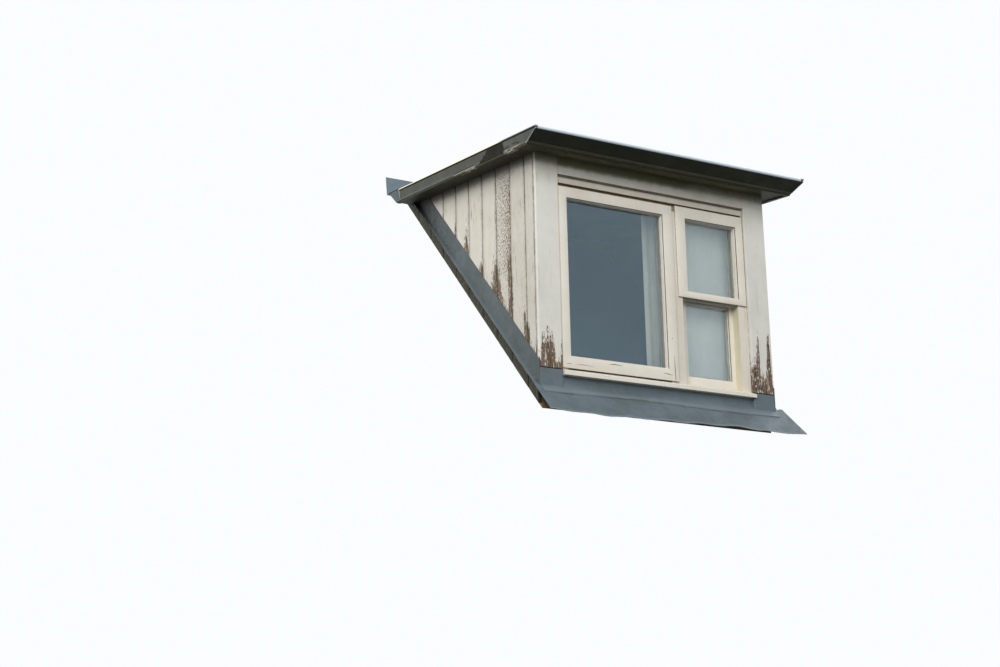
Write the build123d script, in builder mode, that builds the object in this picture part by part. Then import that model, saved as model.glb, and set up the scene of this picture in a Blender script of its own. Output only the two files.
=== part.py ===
from build123d import *
from math import cos, radians, sin, tan
import os

os.makedirs("parts", exist_ok=True)

# A timber dormer window that stands on a pitched tiled roof.
# X runs to the right seen from the front, Y into the roof, Z up.
# The origin is on the seat: the underside of the front sole plate, cut to the roof pitch.

# Driving sizes, millimetres and degrees
main_pitch = 46.0
roof_pitch = 7.0
body_width = 1320.0
roof_height = 1222.0
tile_build_up = 46.0
lead_height = 81.0
clearance = 3.0
seat_gap = 0.3

# Carcass timber
post_width = 70.0
post_depth = 90.0
plate_thickness = 45.0
stud_thickness = 45.0
stud_positions = (420.0, 780.0)
sole_height = 114.0
layer_thickness = 30.0
layer_lap = 40.0
lintel_drop = 126.0
joist_width = 50.0
joist_depth = 60.0
inner_joist_offset = 200.0
tail_depth = 20.0

# Boards
board_thickness = 20.0
cheek_thickness = 18.0
cheek_foot = 15.0
cheek_joint = 3.0
first_cheek_board = 85.0
cheek_board_width = 139.0
corner_board_width = 122.0
corner_board_lift = 26.0
header_drop = 139.0
lining_thickness = 10.0
deck_thickness = 18.0

# Eaves
front_overhang = 197.0
eaves_setback = 97.0
side_overhang = 111.0
edge_lean = 9.0
edge_drop = 48.0
fascia_thickness = 18.0
fascia_drop = 54.0
soffit_thickness = 8.0

# Zinc and lead
zinc = 2.0
lead = 3.0
bead_radius = 8.5
rim_height = 15.0
rim_width = 14.0
rim_roll_radius = 4.0
rim_roll_reach = 3.0
end_cap_length = 110.0
flashing_upstand = 87.0
flashing_foot = 30.0
rear_flashing_length = 237.0
rear_flashing_reach = 20.0
rear_flashing_taper = 70.0
apron_edge = -190.0
apron_left_reach = 27.0
apron_right_reach = 88.0
apron_return_reach = 62.0
apron_return = -40.0
apron_lap = 28.0
block_width = 122.0

# Window
frame_head_depth = 86.0
head_rebate_height = 40.0
head_groove_height = 15.0
head_cut_depth = 20.0
mullion_left = 74.0
mullion_width = 76.0
left_jamb = 75.0
right_jamb = 52.0
sill_thickness = 32.0
sill_nose = 30.0
sill_nose_thickness = 17.0
sill_splay = 12.0
drip_width = 6.0
sash_lip = 10.0
sash_body = 30.0
sash_lap = 35.0
sash_head_lap = 21.0
sash_foot_gap = 6.5
hinge_stile = 45.0
lock_stile = 55.0
sash_top_rail = 52.0
sash_foot_rail = 56.5
glass = 4.0
glass_bite = 6.0
putty = 8.0
upper_lip = 8.0
upper_body = 38.0
upper_head_lap = 28.5
upper_left_lap = 18.0
upper_right_lap = 14.0
upper_left_stile = 55.0
upper_right_stile = 43.0
upper_foot = 577.0
meeting_rail = 32.0
upper_rail = 57.5
lower_depth = 36.0
lower_stile = 54.0
lower_overlap = 35.0
lower_top_rail = 36.0
lower_bottom_rail = 55.0
left_guide = 7.0
right_guide = 34.0
stop_bead_width = 15.0
stop_bead_depth = 7.0
window_board_depth = 65.0
window_board_thickness = 22.0

# Curtains
rail_front = 72.0
rail_depth = 24.0
rail_height = 45.0
curtain_left = 20.0
curtain_width = 150.0
curtain_thickness = 18.0
curtain_lift = 10.0
rod_radius = 4.0
rod_lift = 36.0
rod_front = 60.0
net_left_lap = 34.0
net_side_gap = 6.0
net_thickness = 4.0
net_lift = 6.0

# Places worked out from the driving sizes
half = body_width / 2
face_y = -post_depth / 2 - board_thickness
carcass_front = -post_depth / 2
carcass_back = post_depth / 2
cheek_inside = half - cheek_thickness
post_inside = cheek_inside - post_width
lining_inside = post_inside - lining_thickness
main_slope = tan(radians(main_pitch))
roof_slope = tan(radians(roof_pitch))
main_cos = cos(radians(main_pitch))
main_sin = sin(radians(main_pitch))
roof_cos = cos(radians(roof_pitch))
roof_sin = sin(radians(roof_pitch))
lintel_underside = roof_height - lintel_drop
header_foot = roof_height - header_drop
corner_board_foot = sole_height + corner_board_lift
sill_height = sole_height + sill_thickness
sill_nose_top = sole_height + sill_nose_thickness
frame_head = lintel_underside - frame_head_depth
opening_left = -post_inside + left_jamb
mullion_right = mullion_left + mullion_width
opening_right = post_inside - right_jamb
head_rebate_top = frame_head + head_rebate_height
head_groove_foot = lintel_underside - head_groove_height
sash_left = opening_left - sash_lap
sash_right = mullion_left + sash_lap
sash_top = frame_head + sash_head_lap
sash_foot = sill_height + sash_foot_gap
upper_left = mullion_right - upper_left_lap
upper_right = opening_right + upper_right_lap
upper_top = frame_head + upper_head_lap
rim_x = half + side_overhang
edge_foot_x = rim_x - edge_lean
fascia_outside = edge_foot_x - zinc
fascia_inside = fascia_outside - fascia_thickness
rim_y = face_y - front_overhang
eaves_y = rim_y + eaves_setback
eaves_back = eaves_y + fascia_thickness


def slope_z(y, n):
    """Height at depth y of the plane that lies n above the seat, square to the main roof."""
    return y * main_slope + n / main_cos


def roof_z(y, w):
    """Height at depth y of the plane that lies w above the zinc, square to the dormer roof."""
    return roof_height + (y - face_y) * roof_slope + w / roof_cos


def meet_y(w, n):
    """Depth where the dormer roof plane w meets the main roof plane n."""
    level = roof_height - face_y * roof_slope + w / roof_cos - n / main_cos
    return level / (main_slope - roof_slope)


def on_roof(y, w):
    return (y, roof_z(y, w))


def on_slope(y, n):
    return (y, slope_z(y, n))


def front_plane(y):
    """A plane at depth y, sketched in X and Z as seen from the front."""
    return Plane.XZ.offset(-y)


def side_plane(x):
    """A plane at x, sketched in Y and Z."""
    return Plane.YZ.offset(x)


def between(low, high):
    return (low + high) / 2


joist_underside = -(zinc + deck_thickness + joist_depth)
deck_underside = -(zinc + deck_thickness)
tail_underside = deck_underside - tail_depth
soffit_underside = tail_underside - soffit_thickness
ceiling_underside = joist_underside - lining_thickness
layer_front = meet_y(joist_underside, layer_thickness) - layer_lap
flashing_start = meet_y(0, tile_build_up)
flashing_end = flashing_start + rear_flashing_length * main_cos

tile_plane = Plane(
    origin=(0, 0, slope_z(0, tile_build_up)),
    x_dir=(1, 0, 0),
    z_dir=(0, -main_sin, main_cos),
)
tile_cut = tile_plane.offset(zinc + seat_gap)
lead_plane = Plane(
    origin=(0, 0, slope_z(0, lead_height)),
    x_dir=(1, 0, 0),
    z_dir=(0, -main_sin, main_cos),
)

# Carcass
with BuildPart() as front_sole_plate:
    with BuildSketch(side_plane(-cheek_inside)):
        with BuildLine():
            Polyline(
                on_slope(carcass_front, 0),
                on_slope(carcass_back, 0),
                (carcass_back, sole_height),
                (carcass_front, sole_height),
                close=True,
            )
        make_face()
    extrude(amount=2 * cheek_inside)
front_sole_plate.part.label = "front_sole_plate"

with BuildPart() as raked_sole_plates:
    with BuildSketch(side_plane(post_inside)):
        with BuildLine():
            Polyline(
                on_slope(carcass_back, 0),
                on_slope(layer_front, 0),
                on_slope(layer_front, plate_thickness),
                on_slope(carcass_back, plate_thickness),
                close=True,
            )
        make_face()
    extrude(amount=post_width)
    mirror(about=Plane.YZ)
raked_sole_plates.part.label = "raked_sole_plates"

with BuildPart() as rear_layer_board:
    with BuildSketch(side_plane(-cheek_inside)):
        with BuildLine():
            Polyline(
                on_slope(layer_front, 0),
                on_slope(flashing_end, 0),
                on_slope(flashing_end, layer_thickness),
                on_slope(layer_front, layer_thickness),
                close=True,
            )
        make_face()
    extrude(amount=2 * cheek_inside)
rear_layer_board.part.label = "rear_layer_board"

with BuildPart() as corner_posts:
    with BuildSketch(Plane.XY.offset(sole_height)):
        with Locations((post_inside + post_width / 2, 0)):
            Rectangle(post_width, post_depth)
    extrude(amount=lintel_underside - sole_height)
    mirror(about=Plane.YZ)
corner_posts.part.label = "corner_posts"

with BuildPart() as lintel:
    with BuildSketch(side_plane(-cheek_inside)):
        with BuildLine():
            Polyline(
                (carcass_front, lintel_underside),
                (carcass_back, lintel_underside),
                on_roof(carcass_back, joist_underside),
                on_roof(carcass_front, joist_underside),
                close=True,
            )
        make_face()
    extrude(amount=2 * cheek_inside)
lintel.part.label = "lintel"

with BuildPart() as cheek_studs:
    for stud_y in stud_positions:
        with BuildSketch(side_plane(post_inside)):
            with BuildLine():
                Polyline(
                    on_slope(stud_y, plate_thickness),
                    on_slope(stud_y + stud_thickness, plate_thickness),
                    on_roof(stud_y + stud_thickness, joist_underside),
                    on_roof(stud_y, joist_underside),
                    close=True,
                )
            make_face()
        extrude(amount=post_width)
    mirror(about=Plane.YZ)
cheek_studs.part.label = "cheek_studs"

with BuildPart() as roof_joists:
    for joist_x in (inner_joist_offset - joist_width / 2, cheek_inside - joist_width):
        with BuildSketch(side_plane(joist_x)):
            with BuildLine():
                Polyline(
                    on_roof(eaves_back, deck_underside),
                    on_roof(eaves_back, tail_underside),
                    on_roof(carcass_front, tail_underside),
                    on_roof(carcass_front, joist_underside),
                    on_slope(meet_y(joist_underside, layer_thickness), layer_thickness),
                    on_slope(meet_y(deck_underside, layer_thickness), layer_thickness),
                    close=True,
                )
            make_face()
        extrude(amount=joist_width)
    mirror(about=Plane.YZ)
roof_joists.part.label = "roof_joists"

with BuildPart() as tilt_board:
    with BuildSketch(side_plane(-cheek_inside)):
        with BuildLine():
            Polyline(
                on_slope(meet_y(deck_underside, layer_thickness), layer_thickness),
                on_slope(flashing_end, layer_thickness),
                on_slope(flashing_end, tile_build_up),
                on_slope(meet_y(deck_underside, tile_build_up), tile_build_up),
                close=True,
            )
        make_face()
    extrude(amount=2 * cheek_inside)
tilt_board.part.label = "tilt_board"


# Roof and eaves
def eaves_w(y, cover):
    """Distance below the zinc of the raking eaves soffit, with cover measured upwards."""
    return cover - zinc - (edge_drop - zinc) * (y - rim_y) / eaves_setback


def eaves_y_at(w, cover):
    return rim_y + (cover - zinc - w) * eaves_setback / (edge_drop - zinc)


zinc_cover = zinc * 1.15

with BuildPart() as roof_deck:
    with BuildSketch(side_plane(-fascia_outside)):
        with BuildLine():
            Polyline(
                on_roof(eaves_y_at(-zinc, zinc_cover), -zinc),
                on_roof(eaves_y_at(deck_underside, zinc_cover), deck_underside),
                on_roof(meet_y(deck_underside, tile_build_up), deck_underside),
                on_roof(meet_y(-zinc, tile_build_up), -zinc),
                close=True,
            )
        make_face()
    extrude(amount=2 * fascia_outside)
roof_deck.part.label = "roof_deck"

with BuildPart() as eaves_board:
    with BuildSketch(side_plane(-fascia_outside)):
        with BuildLine():
            Polyline(
                on_roof(eaves_y_at(deck_underside, zinc_cover), deck_underside),
                on_roof(eaves_y, eaves_w(eaves_y, zinc_cover)),
                on_roof(eaves_y, -fascia_drop),
                on_roof(eaves_back, -fascia_drop),
                on_roof(eaves_back, deck_underside),
                close=True,
            )
        make_face()
    extrude(amount=2 * fascia_outside)
eaves_board.part.label = "eaves_board"

with BuildPart() as fascia_boards:
    with BuildSketch(side_plane(fascia_inside)):
        with BuildLine():
            Polyline(
                on_roof(eaves_back, deck_underside),
                on_roof(eaves_back, -fascia_drop),
                on_roof(flashing_end, -fascia_drop),
                on_roof(flashing_end, deck_underside),
                close=True,
            )
        make_face()
    extrude(amount=fascia_thickness)
    split(bisect_by=tile_cut, keep=Keep.TOP)
    mirror(about=Plane.YZ)
fascia_boards.part.label = "fascia_boards"

with BuildPart() as front_soffit:
    with BuildSketch(side_plane(-fascia_inside)):
        with BuildLine():
            Polyline(
                on_roof(eaves_back, tail_underside),
                on_roof(eaves_back, soffit_underside),
                on_roof(face_y, soffit_underside),
                on_roof(face_y, tail_underside),
                close=True,
            )
        make_face()
    extrude(amount=2 * fascia_inside)
front_soffit.part.label = "front_soffit"

with BuildPart() as side_soffits:
    with BuildSketch(side_plane(half)):
        with BuildLine():
            Polyline(
                on_roof(face_y, tail_underside),
                on_roof(face_y, soffit_underside),
                on_roof(flashing_end, soffit_underside),
                on_roof(flashing_end, tail_underside),
                close=True,
            )
        make_face()
    extrude(amount=fascia_inside - half)
    split(bisect_by=tile_cut, keep=Keep.TOP)
    mirror(about=Plane.YZ)
side_soffits.part.label = "side_soffits"

with BuildPart() as roof_sheet:
    with BuildSketch(side_plane(-(rim_x - rim_width))):
        with BuildLine():
            Polyline(
                on_roof(rim_y + bead_radius, -zinc),
                on_roof(meet_y(-zinc, tile_build_up), -zinc),
                on_roof(meet_y(0, tile_build_up), 0),
                on_roof(rim_y + bead_radius, 0),
                close=True,
            )
        make_face()
        with Locations((rim_y + bead_radius, roof_z(rim_y + bead_radius, bead_radius - zinc))):
            Circle(bead_radius)
    extrude(amount=2 * (rim_x - rim_width))
roof_sheet.part.label = "roof_sheet"

# The front and side zinc meet on a raking mitre at each corner of the eaves.
mitre_top = Vector(rim_x, rim_y, roof_z(rim_y, -zinc))
mitre_foot = Vector(edge_foot_x, eaves_y, roof_z(eaves_y, -edge_drop))
mitre_line = mitre_foot - mitre_top
mitre_plane = Plane(
    origin=mitre_top,
    x_dir=mitre_line,
    z_dir=mitre_line.cross(Vector(1, -1, 0)),
)

with BuildPart() as front_zinc:
    with BuildSketch(side_plane(0)):
        with BuildLine():
            Polyline(
                on_roof(rim_y, -zinc),
                on_roof(eaves_y, -edge_drop),
                on_roof(eaves_y, eaves_w(eaves_y, zinc_cover)),
                on_roof(eaves_y_at(-zinc, zinc_cover), -zinc),
                close=True,
            )
        make_face()
    extrude(amount=rim_x)
    split(bisect_by=mitre_plane, keep=Keep.TOP)
    mirror(about=Plane.YZ)
front_zinc.part.label = "front_zinc"

edge_section = Plane(
    origin=(0, rim_y, roof_z(rim_y, 0)),
    x_dir=(1, 0, 0),
    z_dir=(0, -roof_cos, -roof_sin),
)
edge_run = (flashing_end - rim_y) / roof_cos
cap_start = (meet_y(0, tile_build_up) - rim_y) / roof_cos - end_cap_length
lean = edge_lean / (edge_drop + rim_height)
rim_foot_x = edge_foot_x + lean * (edge_drop - zinc) - zinc
roll_x = rim_x + rim_roll_reach - rim_roll_radius

with BuildPart() as right_zinc_edge:
    with BuildSketch(edge_section):
        with BuildLine():
            Polyline(
                (fascia_outside, -edge_drop),
                (edge_foot_x, -edge_drop),
                (rim_x, rim_height),
                (rim_x - rim_width, rim_height),
                (rim_x - rim_width, -zinc),
                (rim_foot_x, -zinc),
                close=True,
            )
        make_face()
    extrude(amount=-edge_run)
    with BuildSketch(edge_section):
        with Locations((roll_x, rim_height - rim_roll_radius)):
            Circle(rim_roll_radius)
    extrude(amount=-cap_start)
    split(bisect_by=mitre_plane, keep=Keep.BOTTOM)
    split(bisect_by=tile_cut, keep=Keep.TOP)
right_zinc_edge.part.label = "right_zinc_edge"

with BuildPart() as left_zinc_edge:
    mirror(right_zinc_edge.part, about=Plane.YZ)
left_zinc_edge.part.label = "left_zinc_edge"

with BuildPart() as zinc_end_caps:
    with BuildSketch(edge_section.offset(-cap_start)):
        with BuildLine():
            Polyline(
                (edge_foot_x, -edge_drop),
                (edge_foot_x, -edge_drop - zinc),
                (edge_foot_x + zinc, -edge_drop - zinc),
                (rim_x + zinc, rim_height + zinc),
                (rim_x - rim_width, rim_height + zinc),
                (rim_x - rim_width, rim_height),
                (rim_x, rim_height),
                close=True,
            )
        make_face()
    extrude(amount=-2 * end_cap_length)
    split(bisect_by=tile_cut, keep=Keep.TOP)
    mirror(about=Plane.YZ)
zinc_end_caps.part.label = "zinc_end_caps"

rear_flashing_half = rim_x + rear_flashing_reach
with BuildPart() as rear_flashing:
    with BuildSketch(tile_plane):
        with BuildLine():
            Polyline(
                (-rear_flashing_half, flashing_start / main_cos),
                (rear_flashing_half, flashing_start / main_cos),
                (rear_flashing_half - rear_flashing_taper, flashing_end / main_cos),
                (rear_flashing_taper - rear_flashing_half, flashing_end / main_cos),
                close=True,
            )
        make_face()
    extrude(amount=zinc)
rear_flashing.part.label = "rear_flashing"

# Cheeks, corner boards and linings
cheek_rear = meet_y(deck_underside, cheek_foot)
cheek_joints = [
    carcass_front + first_cheek_board + cheek_board_width * row for row in range(9)
]

with BuildPart() as right_cheek_boards:
    with BuildSketch(side_plane(cheek_inside)):
        with BuildLine():
            Polyline(
                on_slope(carcass_front, cheek_foot),
                (cheek_rear, slope_z(cheek_rear, cheek_foot)),
                on_roof(carcass_front, deck_underside),
                close=True,
            )
        make_face()
    extrude(amount=cheek_thickness)
    with BuildSketch(Plane.XY):
        with Locations([(half, joint_y) for joint_y in cheek_joints]):
            Rectangle(cheek_joint, cheek_joint, rotation=45)
    extrude(amount=2 * roof_height, mode=Mode.SUBTRACT)
right_cheek_boards.part.label = "right_cheek_boards"

with BuildPart() as left_cheek_boards:
    mirror(right_cheek_boards.part, about=Plane.YZ)
left_cheek_boards.part.label = "left_cheek_boards"

with BuildPart() as right_corner_board:
    with BuildSketch(side_plane(half - corner_board_width)):
        with BuildLine():
            Polyline(
                (face_y, corner_board_foot),
                (carcass_front, corner_board_foot),
                on_roof(carcass_front, tail_underside),
                on_roof(face_y, tail_underside),
                close=True,
            )
        make_face()
    extrude(amount=corner_board_width)
right_corner_board.part.label = "right_corner_board"

with BuildPart() as left_corner_board:
    mirror(right_corner_board.part, about=Plane.YZ)
left_corner_board.part.label = "left_corner_board"

with BuildPart() as header_board:
    with BuildSketch(side_plane(-(half - corner_board_width))):
        with BuildLine():
            Polyline(
                (face_y, header_foot),
                (carcass_front, header_foot),
                on_roof(carcass_front, tail_underside),
                on_roof(face_y, tail_underside),
                close=True,
            )
        make_face()
    extrude(amount=2 * (half - corner_board_width))
header_board.part.label = "header_board"

with BuildPart() as side_linings:
    with BuildSketch(side_plane(lining_inside)):
        with BuildLine():
            Polyline(
                on_slope(carcass_back, 0),
                on_slope(layer_front, 0),
                on_roof(layer_front, joist_underside),
                on_roof(carcass_back, joist_underside),
                close=True,
            )
        make_face()
    extrude(amount=lining_thickness)
    mirror(about=Plane.YZ)
side_linings.part.label = "side_linings"

with BuildPart() as ceiling_lining:
    with BuildSketch(side_plane(-lining_inside)):
        with BuildLine():
            Polyline(
                on_roof(carcass_back, ceiling_underside),
                on_roof(layer_front, ceiling_underside),
                on_roof(layer_front, joist_underside),
                on_roof(carcass_back, joist_underside),
                close=True,
            )
        make_face()
    extrude(amount=2 * lining_inside)
ceiling_lining.part.label = "ceiling_lining"

# Window frame, sill and sashes
with BuildPart() as window_frame:
    with BuildSketch(front_plane(carcass_front)):
        with BuildLine():
            Polyline(
                (-post_inside, sill_height),
                (opening_left, sill_height),
                (opening_left, frame_head),
                (mullion_left, frame_head),
                (mullion_left, sill_height),
                (mullion_right, sill_height),
                (mullion_right, frame_head),
                (opening_right, frame_head),
                (opening_right, sill_height),
                (post_inside, sill_height),
                (post_inside, lintel_underside),
                (-post_inside, lintel_underside),
                close=True,
            )
        make_face()
    extrude(amount=-post_depth)
    with BuildSketch(front_plane(carcass_front)):
        with Locations((between(sash_left, upper_right), between(frame_head, head_rebate_top))):
            Rectangle(upper_right - sash_left, head_rebate_height)
        with Locations((0, between(head_groove_foot, lintel_underside))):
            Rectangle(2 * post_inside, head_groove_height)
    extrude(amount=-head_cut_depth, mode=Mode.SUBTRACT)
window_frame.part.label = "window_frame"

nose_y = carcass_front - sill_nose
nose_left = -(half - corner_board_width) + clearance
nose_right = half - corner_board_width - clearance
with BuildPart() as window_sill:
    with BuildSketch(side_plane(-post_inside)):
        with BuildLine():
            Polyline(
                (carcass_front, sole_height),
                (carcass_back, sole_height),
                (carcass_back, sill_height),
                (carcass_front, sill_height),
                close=True,
            )
        make_face()
    extrude(amount=2 * post_inside)
    with BuildSketch(side_plane(nose_left)):
        with BuildLine():
            Polyline(
                (carcass_front, sole_height),
                (carcass_front, sill_height),
                (nose_y, sill_nose_top),
                (nose_y, sole_height),
                close=True,
            )
        make_face()
    extrude(amount=nose_right + sill_splay - nose_left)
    with BuildSketch(Plane.XY.offset(sole_height)):
        with BuildLine():
            Polyline(
                (nose_right, carcass_front),
                (nose_right, face_y - seat_gap),
                (nose_right + sill_splay, nose_y),
                (nose_right + sill_splay, carcass_front),
                close=True,
            )
        make_face()
    extrude(amount=sill_height - sole_height, mode=Mode.SUBTRACT)
    with BuildSketch(side_plane(nose_left)):
        with Locations((face_y, sole_height)):
            Circle(drip_width / 2)
    extrude(amount=nose_right - nose_left, mode=Mode.SUBTRACT)
window_sill.part.label = "window_sill"

pane_left = sash_left + hinge_stile
pane_right = sash_right - lock_stile
pane_foot = sash_foot + sash_foot_rail
pane_top = sash_top - sash_top_rail
sash_face = carcass_front - sash_lip
pane_front = carcass_front + sash_body - putty - glass
with BuildPart() as left_sash:
    with BuildSketch(front_plane(sash_face)):
        with Locations((between(sash_left, sash_right), between(sash_foot, sash_top))):
            Rectangle(sash_right - sash_left, sash_top - sash_foot)
    extrude(amount=-sash_lip)
    with BuildSketch(front_plane(carcass_front)):
        with Locations((between(opening_left, mullion_left), between(sash_foot, frame_head))):
            Rectangle(
                mullion_left - opening_left - 2 * clearance,
                frame_head - sash_foot - 2 * clearance,
            )
    extrude(amount=-sash_body)
    with BuildSketch(front_plane(sash_face)):
        with Locations((between(pane_left, pane_right), between(pane_foot, pane_top))):
            Rectangle(pane_right - pane_left, pane_top - pane_foot)
    extrude(amount=-(sash_lip + sash_body), mode=Mode.SUBTRACT)
    with BuildSketch(front_plane(pane_front)):
        with Locations((between(pane_left, pane_right), between(pane_foot, pane_top))):
            Rectangle(
                pane_right - pane_left + 2 * glass_bite,
                pane_top - pane_foot + 2 * glass_bite,
            )
    extrude(amount=-glass, mode=Mode.SUBTRACT)
    outer_arris = left_sash.edges().group_by(Axis.Y)[0].filter_by_position(
        Axis.X, pane_left - 1, pane_right + 1
    )
    chamfer(outer_arris.filter_by_position(Axis.Z, pane_foot - 1, pane_top + 1), putty / 2)
left_sash.part.label = "left_sash"

with BuildPart() as left_glass:
    with BuildSketch(front_plane(pane_front)):
        with Locations((between(pane_left, pane_right), between(pane_foot, pane_top))):
            Rectangle(
                pane_right - pane_left + 2 * glass_bite,
                pane_top - pane_foot + 2 * glass_bite,
            )
    extrude(amount=-glass)
left_glass.part.label = "left_glass"

upper_glass_foot = upper_foot + meeting_rail
upper_pane_left = upper_left + upper_left_stile
upper_pane_right = upper_right - upper_right_stile
upper_pane_top = upper_top - upper_rail
upper_face = carcass_front - upper_lip
upper_pane_front = carcass_front + upper_body - putty - glass
with BuildPart() as upper_sash:
    with BuildSketch(front_plane(upper_face)):
        with Locations((between(upper_left, upper_right), between(upper_foot, upper_top))):
            Rectangle(upper_right - upper_left, upper_top - upper_foot)
    extrude(amount=-upper_lip)
    with BuildSketch(front_plane(carcass_front)):
        with Locations(
            (between(mullion_right, opening_right), between(upper_foot, frame_head - clearance))
        ):
            Rectangle(
                opening_right - mullion_right - 2 * clearance,
                frame_head - clearance - upper_foot,
            )
    extrude(amount=-upper_body)
    with BuildSketch(front_plane(upper_face)):
        with Locations(
            (between(upper_pane_left, upper_pane_right), between(upper_glass_foot, upper_pane_top))
        ):
            Rectangle(upper_pane_right - upper_pane_left, upper_pane_top - upper_glass_foot)
    extrude(amount=-(upper_lip + upper_body), mode=Mode.SUBTRACT)
    with BuildSketch(front_plane(upper_pane_front)):
        with Locations(
            (between(upper_pane_left, upper_pane_right), between(upper_glass_foot, upper_pane_top))
        ):
            Rectangle(
                upper_pane_right - upper_pane_left + 2 * glass_bite,
                upper_pane_top - upper_glass_foot + 2 * glass_bite,
            )
    extrude(amount=-glass, mode=Mode.SUBTRACT)
    outer_arris = upper_sash.edges().group_by(Axis.Y)[0].filter_by_position(
        Axis.X, upper_pane_left - 1, upper_pane_right + 1
    )
    chamfer(
        outer_arris.filter_by_position(Axis.Z, upper_glass_foot - 1, upper_pane_top + 1),
        putty / 2,
    )
upper_sash.part.label = "upper_sash"

with BuildPart() as upper_glass:
    with BuildSketch(front_plane(upper_pane_front)):
        with Locations(
            (between(upper_pane_left, upper_pane_right), between(upper_glass_foot, upper_pane_top))
        ):
            Rectangle(
                upper_pane_right - upper_pane_left + 2 * glass_bite,
                upper_pane_top - upper_glass_foot + 2 * glass_bite,
            )
    extrude(amount=-glass)
upper_glass.part.label = "upper_glass"

lower_top = upper_foot + lower_overlap
lower_left = mullion_right + clearance
lower_right = opening_right - clearance
lower_face = carcass_back - stop_bead_depth - lower_depth
lower_pane_left = lower_left + lower_stile
lower_pane_right = lower_right - lower_stile
lower_pane_foot = sill_height + lower_bottom_rail
lower_pane_top = lower_top - lower_top_rail
lower_pane_front = lower_face + putty + putty / 2
with BuildPart() as lower_sash:
    with BuildSketch(front_plane(lower_face)):
        with Locations((between(lower_left, lower_right), between(sill_height, lower_top))):
            Rectangle(lower_right - lower_left, lower_top - sill_height)
        with Locations(
            (between(lower_pane_left, lower_pane_right), between(lower_pane_foot, lower_pane_top))
        ):
            Rectangle(
                lower_pane_right - lower_pane_left,
                lower_pane_top - lower_pane_foot,
                mode=Mode.SUBTRACT,
            )
    extrude(amount=-lower_depth)
    with BuildSketch(front_plane(lower_pane_front)):
        with Locations(
            (between(lower_pane_left, lower_pane_right), between(lower_pane_foot, lower_pane_top))
        ):
            Rectangle(
                lower_pane_right - lower_pane_left + 2 * glass_bite,
                lower_pane_top - lower_pane_foot + 2 * glass_bite,
            )
    extrude(amount=-glass, mode=Mode.SUBTRACT)
lower_sash.part.label = "lower_sash"

with BuildPart() as lower_glass:
    with BuildSketch(front_plane(lower_pane_front)):
        with Locations(
            (between(lower_pane_left, lower_pane_right), between(lower_pane_foot, lower_pane_top))
        ):
            Rectangle(
                lower_pane_right - lower_pane_left + 2 * glass_bite,
                lower_pane_top - lower_pane_foot + 2 * glass_bite,
            )
    extrude(amount=-glass)
lower_glass.part.label = "lower_glass"

with BuildPart() as sash_beads:
    with BuildSketch(front_plane(carcass_front)):
        with Locations((mullion_right + left_guide / 2, between(sill_height, upper_foot))):
            Rectangle(left_guide, upper_foot - sill_height)
        with Locations((opening_right - right_guide / 2, between(sill_height, upper_foot))):
            Rectangle(right_guide, upper_foot - sill_height)
    extrude(amount=carcass_front - lower_face)
    with BuildSketch(front_plane(lower_face + lower_depth)):
        with Locations(
            (mullion_right + stop_bead_width / 2, between(sill_height, frame_head)),
            (opening_right - stop_bead_width / 2, between(sill_height, frame_head)),
        ):
            Rectangle(stop_bead_width, frame_head - sill_height)
    extrude(amount=-stop_bead_depth)
sash_beads.part.label = "sash_beads"

with BuildPart() as window_board:
    with BuildSketch(side_plane(-lining_inside)):
        with Locations(
            (carcass_back + window_board_depth / 2, sill_height - window_board_thickness / 2)
        ):
            Rectangle(window_board_depth, window_board_thickness)
    extrude(amount=2 * lining_inside)
    fillet(window_board.edges().filter_by(Axis.X).group_by(Axis.Y)[-1], 8)
window_board.part.label = "window_board"

# Lead apron, upstand, wrapped blocks and cheek flashings
upstand_foot = lead_height + lead
block_foot = upstand_foot + lead
with BuildPart() as lead_apron:
    with BuildSketch(lead_plane):
        with BuildLine():
            Polyline(
                (-half, carcass_front / main_cos),
                (-half, apron_return / main_cos),
                (-half - apron_left_reach, apron_return / main_cos),
                (-half - apron_left_reach, apron_edge / main_cos),
                (half + apron_right_reach, apron_edge / main_cos),
                (half + apron_return_reach, apron_return / main_cos),
                (half, apron_return / main_cos),
                (half, carcass_front / main_cos),
                close=True,
            )
        make_face()
    extrude(amount=lead)
    split(bisect_by=Plane.XZ.offset(-apron_return), keep=Keep.TOP)
lead_apron.part.label = "lead_apron"

# The upstand behind the sill turns out at its foot and laps the apron under the blocks.
lap_y = face_y - apron_lap
with BuildPart() as lead_upstand:
    with BuildSketch(side_plane(-(half - block_width))):
        with BuildLine():
            Polyline(
                on_slope(carcass_front, upstand_foot),
                (carcass_front, sole_height),
                (carcass_front - lead, sole_height),
                on_slope(carcass_front - lead, block_foot),
                on_slope(face_y, block_foot),
                on_slope(face_y, upstand_foot),
                close=True,
            )
        make_face()
    extrude(amount=2 * (half - block_width))
    with BuildSketch(side_plane(-half)):
        with BuildLine():
            Polyline(
                on_slope(face_y, upstand_foot),
                on_slope(face_y, block_foot),
                on_slope(lap_y, block_foot),
                on_slope(lap_y, upstand_foot),
                close=True,
            )
        make_face()
    extrude(amount=2 * half)
lead_upstand.part.label = "lead_upstand"

with BuildPart() as lead_blocks:
    with BuildSketch(side_plane(half - block_width)):
        with BuildLine():
            Polyline(
                on_slope(face_y, upstand_foot),
                on_slope(carcass_front, upstand_foot),
                (carcass_front, corner_board_foot),
                (face_y, corner_board_foot),
                close=True,
            )
        make_face()
    extrude(amount=block_width)
    mirror(about=Plane.YZ)
lead_blocks.part.label = "lead_blocks"

flashing_top = lead_height + flashing_upstand
flashing_end_w = soffit_underside - seat_gap


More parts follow.
